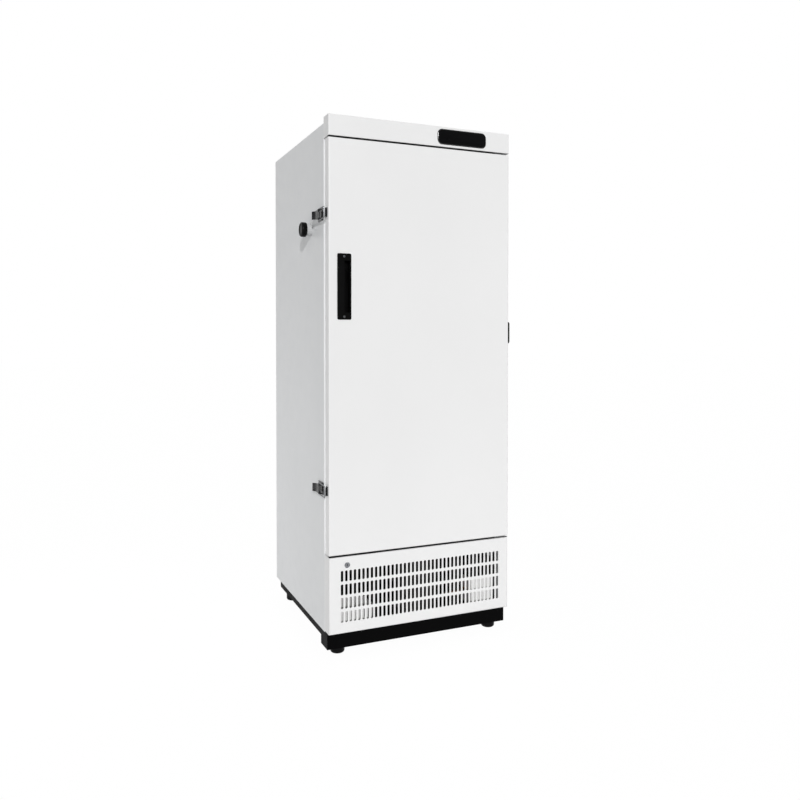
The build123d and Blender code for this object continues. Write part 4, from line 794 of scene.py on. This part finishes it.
class FREEZER_OT_port(bpy.types.Operator):
    """Add the side port's collar and its rubber stopper"""

    bl_idname = "freezer.port"
    bl_label = "Side port"

    def execute(self, context):
        sizes = context.scene.freezer_sizes
        low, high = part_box("port_collar")
        middle = (low + high) / 2
        outer = (high.z - low.z) / 2
        pick_none()
        bpy.ops.mesh.primitive_cylinder_add(vertices=FINE_SIDES, radius=outer, depth=high.x - low.x,
                                            end_fill_type="NOTHING", location=middle, rotation=(0, pi / 2, 0))
        collar = settle_place("port_collar_tube")
        reshape(collar, "SOLIDIFY", thickness=outer - sizes.bore_width / 2, offset=-1)
        soften(collar, sizes.collar_edge)
        put_on(collar, "cabinet", "collar", "pale_plastic", "port_collar")

        low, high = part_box("port_stopper")
        low.x += RING_SWELL
        middle = (low + high) / 2
        head = (high.z - low.z) / 2
        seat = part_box("port_collar")[0].x - sizes.knob_seat
        knob = new_round("port_stopper_knob", ((low.x + seat) / 2, middle.y, middle.z), (-1, 0, 0), head,
                         seat - low.x)
        plug = sizes.bore_width / 2 - sizes.plug_gap
        step_face(knob, facing(X, 1, seat), head - plug, x=high.x - seat)

        def at_rim(point, place, radius):
            off_axis = Vector((point.y - middle.y, point.z - middle.z))
            return near(point.x, place) and near(off_axis.length, radius)

        inner = sizes.knob_inner_edge
        for place, radius, width, steps in ((low.x, head, sizes.knob_edge, 8), (seat, head, inner, 4),
                                            (high.x, plug, inner, 4)):
            bevel_edges(knob, lambda a, b: at_rim(a, place, radius) and at_rim(b, place, radius),
                        width, steps)
        step_face(knob, facing(X, -1, low.x), sizes.dish_rim, x=sizes.knob_dish)
        put_on(knob, "stopper", "rubber", "black_rubber", "port_stopper", angle=50)
        return {"FINISHED"}


class FREEZER_OT_grille(bpy.types.Operator):
    """Add the slotted front panel, with its slots opened to their finished width"""

    bl_idname = "freezer.grille"
    bl_label = "Slotted grille"

    def execute(self, context):
        sizes = context.scene.freezer_sizes
        panel = joined_copy("grille_panel", "slotted_grille")
        begin_edit(panel)
        low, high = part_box("grille_panel")
        middle = (low.x + high.x) / 2
        columns = [middle + (index - (sizes.slot_columns - 1) / 2) * sizes.slot_pitch
                   for index in range(sizes.slot_columns)]
        rows = [sizes.slot_first_row + index * sizes.slot_row_pitch for index in range(sizes.slot_rows)]
        half_width, half_height = sizes.slot_width / 2, sizes.slot_height / 2
        grown = sizes.slot_growth / 2

        def in_rows(point):
            return min(abs(point.z - row) for row in rows) < half_height + HAIR

        for column in columns:
            pick_points(panel, lambda point: abs(point.x - column) < half_width + HAIR and in_rows(point))
            bpy.ops.transform.resize(value=((half_width + grown) / half_width, 1, 1),
                                     center_override=(column, 0, 0))
        for row in rows:
            pick_points(panel, lambda point: abs(point.z - row) < half_height + HAIR
                        and abs(point.x - middle) < columns[-1] - middle + 2 * half_width)
            bpy.ops.transform.resize(value=(1, 1, (half_height + grown) / half_height),
                                     center_override=(0, 0, row))
        end_edit()
        put_on(panel, "grille", "door", "white_paint", "grille_panel", angle=25)
        return {"FINISHED"}


class FREEZER_OT_lock(bpy.types.Operator):
    """Add the round lock's plated barrel, and a black inlay of painted shade for the key slot on its cylinder
    """

    bl_idname = "freezer.lock"
    bl_label = "Lock"

    def execute(self, context):
        sizes = context.scene.freezer_sizes
        low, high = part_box("lock_housing")
        middle = (low + high) / 2
        radius = (high.x - low.x) / 2
        barrel = new_round("lock_barrel", (middle.x, (low.y + high.y) / 2, middle.z), (0, -1, 0), radius,
                           high.y - low.y)
        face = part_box("grille_panel")[0].y
        begin_edit(barrel)
        pick_all()
        bpy.ops.mesh.bisect(plane_co=(0, face, 0), plane_no=(0, 1, 0))
        pick_faces(barrel, lambda centre, normal: abs(normal.y) < 0.5 and centre.y > face)
        bpy.ops.transform.resize(value=(sizes.barrel_taper, 1, sizes.barrel_taper),
                                 center_override=(middle.x, high.y, middle.z))
        end_edit()
        step_face(barrel, facing(Y, -1, low.y), sizes.barrel_rim, y=sizes.barrel_recess)
        soften(barrel, sizes.barrel_edge, 40)
        put_on(barrel, "grille", "lock", "chrome", "lock_housing")

        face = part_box("lock_cylinder")[0].y
        half_width, half_height = sizes.key_slot_width / 2, sizes.key_slot_height / 2
        # Painted shade: a flat black inlay stands for the dark hole of the key slot
        slot = new_block("lock_key_slot", (middle.x - half_width, face - HAIR, middle.z - half_height),
                         (middle.x + half_width, face + sizes.key_slot_depth, middle.z + half_height))
        bevel_edges(slot, along(Y), sizes.key_slot_width / 3, steps=3)
        put_on(slot, "lock", "plastic", "black_plastic")
        return {"FINISHED"}


class FREEZER_OT_latches(bpy.types.Operator):
    """Add the draw latches' wire loops"""

    bl_idname = "freezer.latches"
    bl_label = "Draw latches"

    def execute(self, context):
        sizes = context.scene.freezer_sizes
        for place in ("upper", "lower"):
            self.add_loop(place, sizes)
        return {"FINISHED"}

    def add_loop(self, place, sizes):
        """A round wire bent into a loop, open at the lever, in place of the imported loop."""
        low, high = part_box(f"{place}_latch_bail")
        wire = sizes.loop_wire / 2
        back = (high.x - wire, high.y - wire)
        hook = (low.x + wire, low.y + wire)
        middle = (low.z + high.z) / 2
        half = (high.z - low.z) / 2 - wire
        route = [Vector((*place, middle + rise)) for place, rise in (
            (back, -sizes.loop_stub), (back, -half), (hook, -half),
            (hook, half), (back, half), (back, sizes.loop_stub))]
        pick_none()
        bpy.ops.mesh.primitive_plane_add(size=MM)
        loop = settle_place(f"{place}_latch_loop")
        begin_edit(loop)
        bpy.ops.mesh.select_mode(type="VERT")
        pick_all()
        bpy.ops.mesh.merge(type="CENTER")
        bpy.ops.transform.translate(value=route[0])
        for start, end in zip(route, route[1:]):
            extrude(*(end - start))
        pick_all()
        bpy.ops.mesh.bevel(offset=2 * wire, offset_type="OFFSET", segments=5, affect="VERTICES")
        end_edit()
        pick_alone(loop)
        bpy.ops.object.convert(target="CURVE")
        loop.data.bevel_depth = wire
        loop.data.bevel_resolution = 4
        loop.data.use_fill_caps = True
        bpy.ops.object.convert(target="MESH")
        put_on(loop, f"{place}_bail", "wire", "latch_steel", f"{place}_latch_bail", angle=60)


class FREEZER_OT_tubes(bpy.types.Operator):
    """Shade the tubes of the shelves, the pipes and the round machine parts smooth"""

    bl_idname = "freezer.tubes"
    bl_label = "Round parts"

    def execute(self, context):
        bend = context.scene.freezer_sizes.smooth_bend
        for node, (body, finish, slot) in ROUND_NODES.items():
            piece = joined_copy(node, f"{node}_smooth")
            put_on(piece, body, finish, slot, node, angle=degrees(bend))
        return {"FINISHED"}


class FREEZER_OT_strips(bpy.types.Operator):
    """Add black strips of painted shade in the gaps over and under the door, clear of the hinges"""

    bl_idname = "freezer.strips"
    bl_label = "Gap strips"

    def execute(self, context):
        thick = context.scene.freezer_sizes.strip_thickness
        margin = context.scene.freezer_sizes.strip_margin
        header_low, header_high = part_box("header_fascia")
        grille_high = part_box("grille_panel")[1]
        frame_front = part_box("front_frame")[0].y
        hinge_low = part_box("upper_hinge")[0]
        left, right = header_low.x + margin, header_high.x - margin
        front = header_low.y + margin
        beside = hinge_low.x - margin
        for body, level, side in (("cabinet", header_low.z, -1), ("grille", grille_high.z, 1)):
            bottom, top = sorted((level, level + side * thick))
            for name, start, end, depth in ((f"{body}_gap_strip", left, beside, frame_front),
                                            (f"{body}_gap_strip_end", beside, right, hinge_low.y)):
                strip = new_block(name, (start, front, bottom), (end, depth - margin, top))
                # Painted shade: the strip's black rubber stands in for the shade in the gap
                put_on(strip, body, "rubber", "black_rubber")
        return {"FINISHED"}


class FREEZER_OT_control_box(bpy.types.Operator):
    """Add the electrical box: a pale tub, a dark cover and the plate on its front"""

    bl_idname = "freezer.control_box"
    bl_label = "Electrical box"

    def execute(self, context):
        sizes = context.scene.freezer_sizes
        low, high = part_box("electrical_box")
        seam = low.z + sizes.tub_height
        front = low.y + sizes.cover_step
        gap = sizes.cover_gap / 2
        tub = new_block("electrical_tub", (low.x, front, low.z), (high.x, high.y, seam - gap))
        cover = new_block("electrical_cover", (low.x, front, seam + gap), high)
        for piece in (tub, cover):
            bevel_edges(piece, along(Z), sizes.cover_corner)
        bevel_edges(cover, at_level(Z, high.z), sizes.moulded_edge, steps=3)
        put_on(tub, "cabinet", "pale", "pale_plastic", "electrical_box")
        put_on(cover, "cabinet", "machine", "black_plastic")
        plate = new_block("electrical_plate", (low.x + sizes.plate_inset, low.y, seam + sizes.plate_inset),
                          (high.x - sizes.plate_inset, front + sizes.plate_seat, high.z - sizes.plate_inset))
        bevel_edges(plate, along(Y), sizes.cover_corner)
        bevel_edges(plate, at_level(Y, low.y), sizes.moulded_edge / 2, steps=2)
        put_on(plate, "cabinet", "machine", "black_plastic")
        return {"FINISHED"}


class FREEZER_OT_side_box(bpy.types.Operator):
    """Add the moulded box on the right side"""

    bl_idname = "freezer.side_box"
    bl_label = "Side box"

    def execute(self, context):
        sizes = context.scene.freezer_sizes
        low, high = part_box("terminal_box")
        high.x -= RING_SWELL
        cover = new_block("side_box_cover", low, high)
        bevel_edges(cover, along(X), sizes.box_corner, steps=6)
        bevel_edges(cover, at_level(X, high.x), sizes.box_edge, steps=5)
        begin_edit(cover)
        pick_all()
        bpy.ops.mesh.bisect(plane_co=(low.x + sizes.box_seam, 0, 0), plane_no=(1, 0, 0))
        bpy.ops.mesh.bevel(offset=sizes.seam_width, offset_type="OFFSET", segments=1, affect="EDGES")
        end_edit()
        put_on(cover, "cabinet", "plastic", "black_plastic", "terminal_box")
        return {"FINISHED"}


class FREEZER_OT_feet(bpy.types.Operator):
    """Add the four rounded screw feet"""

    bl_idname = "freezer.feet"
    bl_label = "Feet"

    def execute(self, context):
        sizes = context.scene.freezer_sizes
        for place in ("front_left", "front_right", "rear_left", "rear_right"):
            low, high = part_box(f"foot_{place}")
            low.z += RING_SWELL
            middle = (low + high) / 2
            radius = (high.x - low.x) / 2
            foot = new_round(f"screw_foot_{place}", middle, (0, 0, 1), radius, high.z - low.z)
            bevel_edges(foot, at_level(Z, low.z), sizes.foot_edge, steps=8)
            bevel_edges(foot, at_level(Z, high.z), sizes.foot_top_edge)
            step_face(foot, facing(Z, -1, low.z), sizes.dish_rim, z=sizes.foot_dish)
            put_on(foot, f"foot_{place}", "rubber", "black_rubber", f"foot_{place}", angle=50)
        return {"FINISHED"}


class FREEZER_OT_stage(bpy.types.Operator):
    """Add the floor, the lamps and the camera"""

    bl_idname = "freezer.stage"
    bl_label = "Studio"

    def execute(self, context):
        studio = context.scene.freezer_studio
        pick_none()
        bpy.ops.mesh.primitive_plane_add(size=studio.floor_size, location=(0, 0, CAD_BOX[0].z))
        floor = settle_place("studio_floor")
        floor.data.materials.append(self.floor_finish(studio))

        world = bpy.data.worlds.new("studio_light")
        context.scene.world = world
        world.use_nodes = True
        tree = world.node_tree
        even = tree.nodes["Background"]
        set_inputs(even, Color=WHITE, Strength=studio.fill_strength)
        seen = tree.nodes.new("ShaderNodeBackground")
        set_inputs(seen, Color=WHITE, Strength=1)
        self.show_to_camera(tree, even.outputs["Background"], seen.outputs["Background"],
                            tree.nodes["World Output"].inputs["Surface"], 1.0)

        lamp = bpy.data.lights.new("key_light", "SUN")
        lamp.energy = studio.key_strength
        lamp.angle = studio.key_width
        key = add_object("key_light", lamp)
        key.rotation_euler = (radians(90) - studio.key_height, 0, -studio.key_turn)

        soft = bpy.data.lights.new("bounce_light", "AREA")
        soft.energy = studio.bounce_power
        soft.size = studio.bounce_size
        bounce = add_object("bounce_light", soft)
        bounce.location = Vector((CAD_BOX[0].x, 0, 0)) + Vector(studio.bounce_place)
        bounce.rotation_euler = (0, -radians(90), 0)

        view = bpy.data.cameras.new("photo_view")
        view.sensor_width = SENSOR_WIDTH
        view.lens = studio.camera_lens
        view.shift_y = (studio.axis_row - PHOTO_PIXELS / 2) / PHOTO_PIXELS
        camera = add_object("photo_view", view)
        camera.location = studio.camera_place
        camera.rotation_euler = (radians(90) - studio.camera_pitch, 0, -studio.camera_yaw)
        context.scene.camera = camera
        context.scene.view_settings.view_transform = "Standard"
        return {"FINISHED"}

    def floor_finish(self, studio):
        """A plain pale floor that looks white and keeps a soft shadow."""
        material, tree, shader = open_material("studio_floor")
        shade = studio.floor_shade
        set_inputs(shader, Base_Color=(shade, shade, shade, 1), Roughness=0.8, Specular_IOR_Level=0.1)
        white = tree.nodes.new("ShaderNodeEmission")
        set_inputs(white, Color=WHITE, Strength=studio.floor_glow)
        self.show_to_camera(tree, shader.outputs["BSDF"], white.outputs["Emission"],
                            tree.nodes["Material Output"].inputs["Surface"], studio.floor_cover)
        return material

    def show_to_camera(self, tree, lit, seen, target, share):
        """Shows the seen shader to the camera, to mirrors and through glass, and the lit one otherwise."""
        path = tree.nodes.new("ShaderNodeLightPath")
        known = path.outputs["Is Camera Ray"]
        for ray in ("Is Glossy Ray", "Is Transmission Ray"):
            known = combine(tree, "MAXIMUM", known, path.outputs[ray])
        mix = tree.nodes.new("ShaderNodeMixShader")
        tree.links.new(combine(tree, "MULTIPLY", known, share), mix.inputs["Fac"])
        tree.links.new(lit, mix.inputs[1])
        tree.links.new(seen, mix.inputs[2])
        tree.links.new(mix.outputs["Shader"], target)


class FREEZER_PT_parts(bpy.types.Panel):
    """Shows the freezer's settings and building steps"""

    bl_label = "Laboratory Freezer"
    bl_idname = "FREEZER_PT_parts"
    bl_space_type = "VIEW_3D"
    bl_region_type = "UI"
    bl_category = "Freezer"

    def draw(self, context):
        for group in (getattr(context.scene, place) for place in GROUPS):
            for name in group.__annotations__:
                self.layout.prop(group, name)
        for step in STEPS:
            self.layout.operator(step.bl_idname)


STEPS = [
    FREEZER_OT_finishes,
    FREEZER_OT_display,
    FREEZER_OT_handle,
    FREEZER_OT_port,
    FREEZER_OT_grille,
    FREEZER_OT_lock,
    FREEZER_OT_tubes,
    FREEZER_OT_strips,
    FREEZER_OT_control_box,
    FREEZER_OT_side_box,
    FREEZER_OT_latches,
    FREEZER_OT_feet,
    FREEZER_OT_stage,
]
GROUPS = {
    "freezer_finishes": FreezerFinishes,
    "freezer_sizes": FreezerSizes,
    "freezer_studio": FreezerStudio,
}


def register():
    """Registers the classes and hangs the settings on the scene."""
    for item in [*GROUPS.values(), *STEPS, FREEZER_PT_parts]:
        bpy.utils.register_class(item)
    for name, group in GROUPS.items():
        setattr(bpy.types.Scene, name, bpy.props.PointerProperty(type=group))


def unregister():
    """Takes the settings and the classes away again."""
    for name in GROUPS:
        delattr(bpy.types.Scene, name)
    for item in reversed([*GROUPS.values(), *STEPS, FREEZER_PT_parts]):
        bpy.utils.unregister_class(item)


def main():
    """Builds everything in order."""
    register()
    for step in STEPS:
        area, action = step.bl_idname.split(".")
        getattr(getattr(bpy.ops, area), action)()


if __name__ == "__main__":
    main()
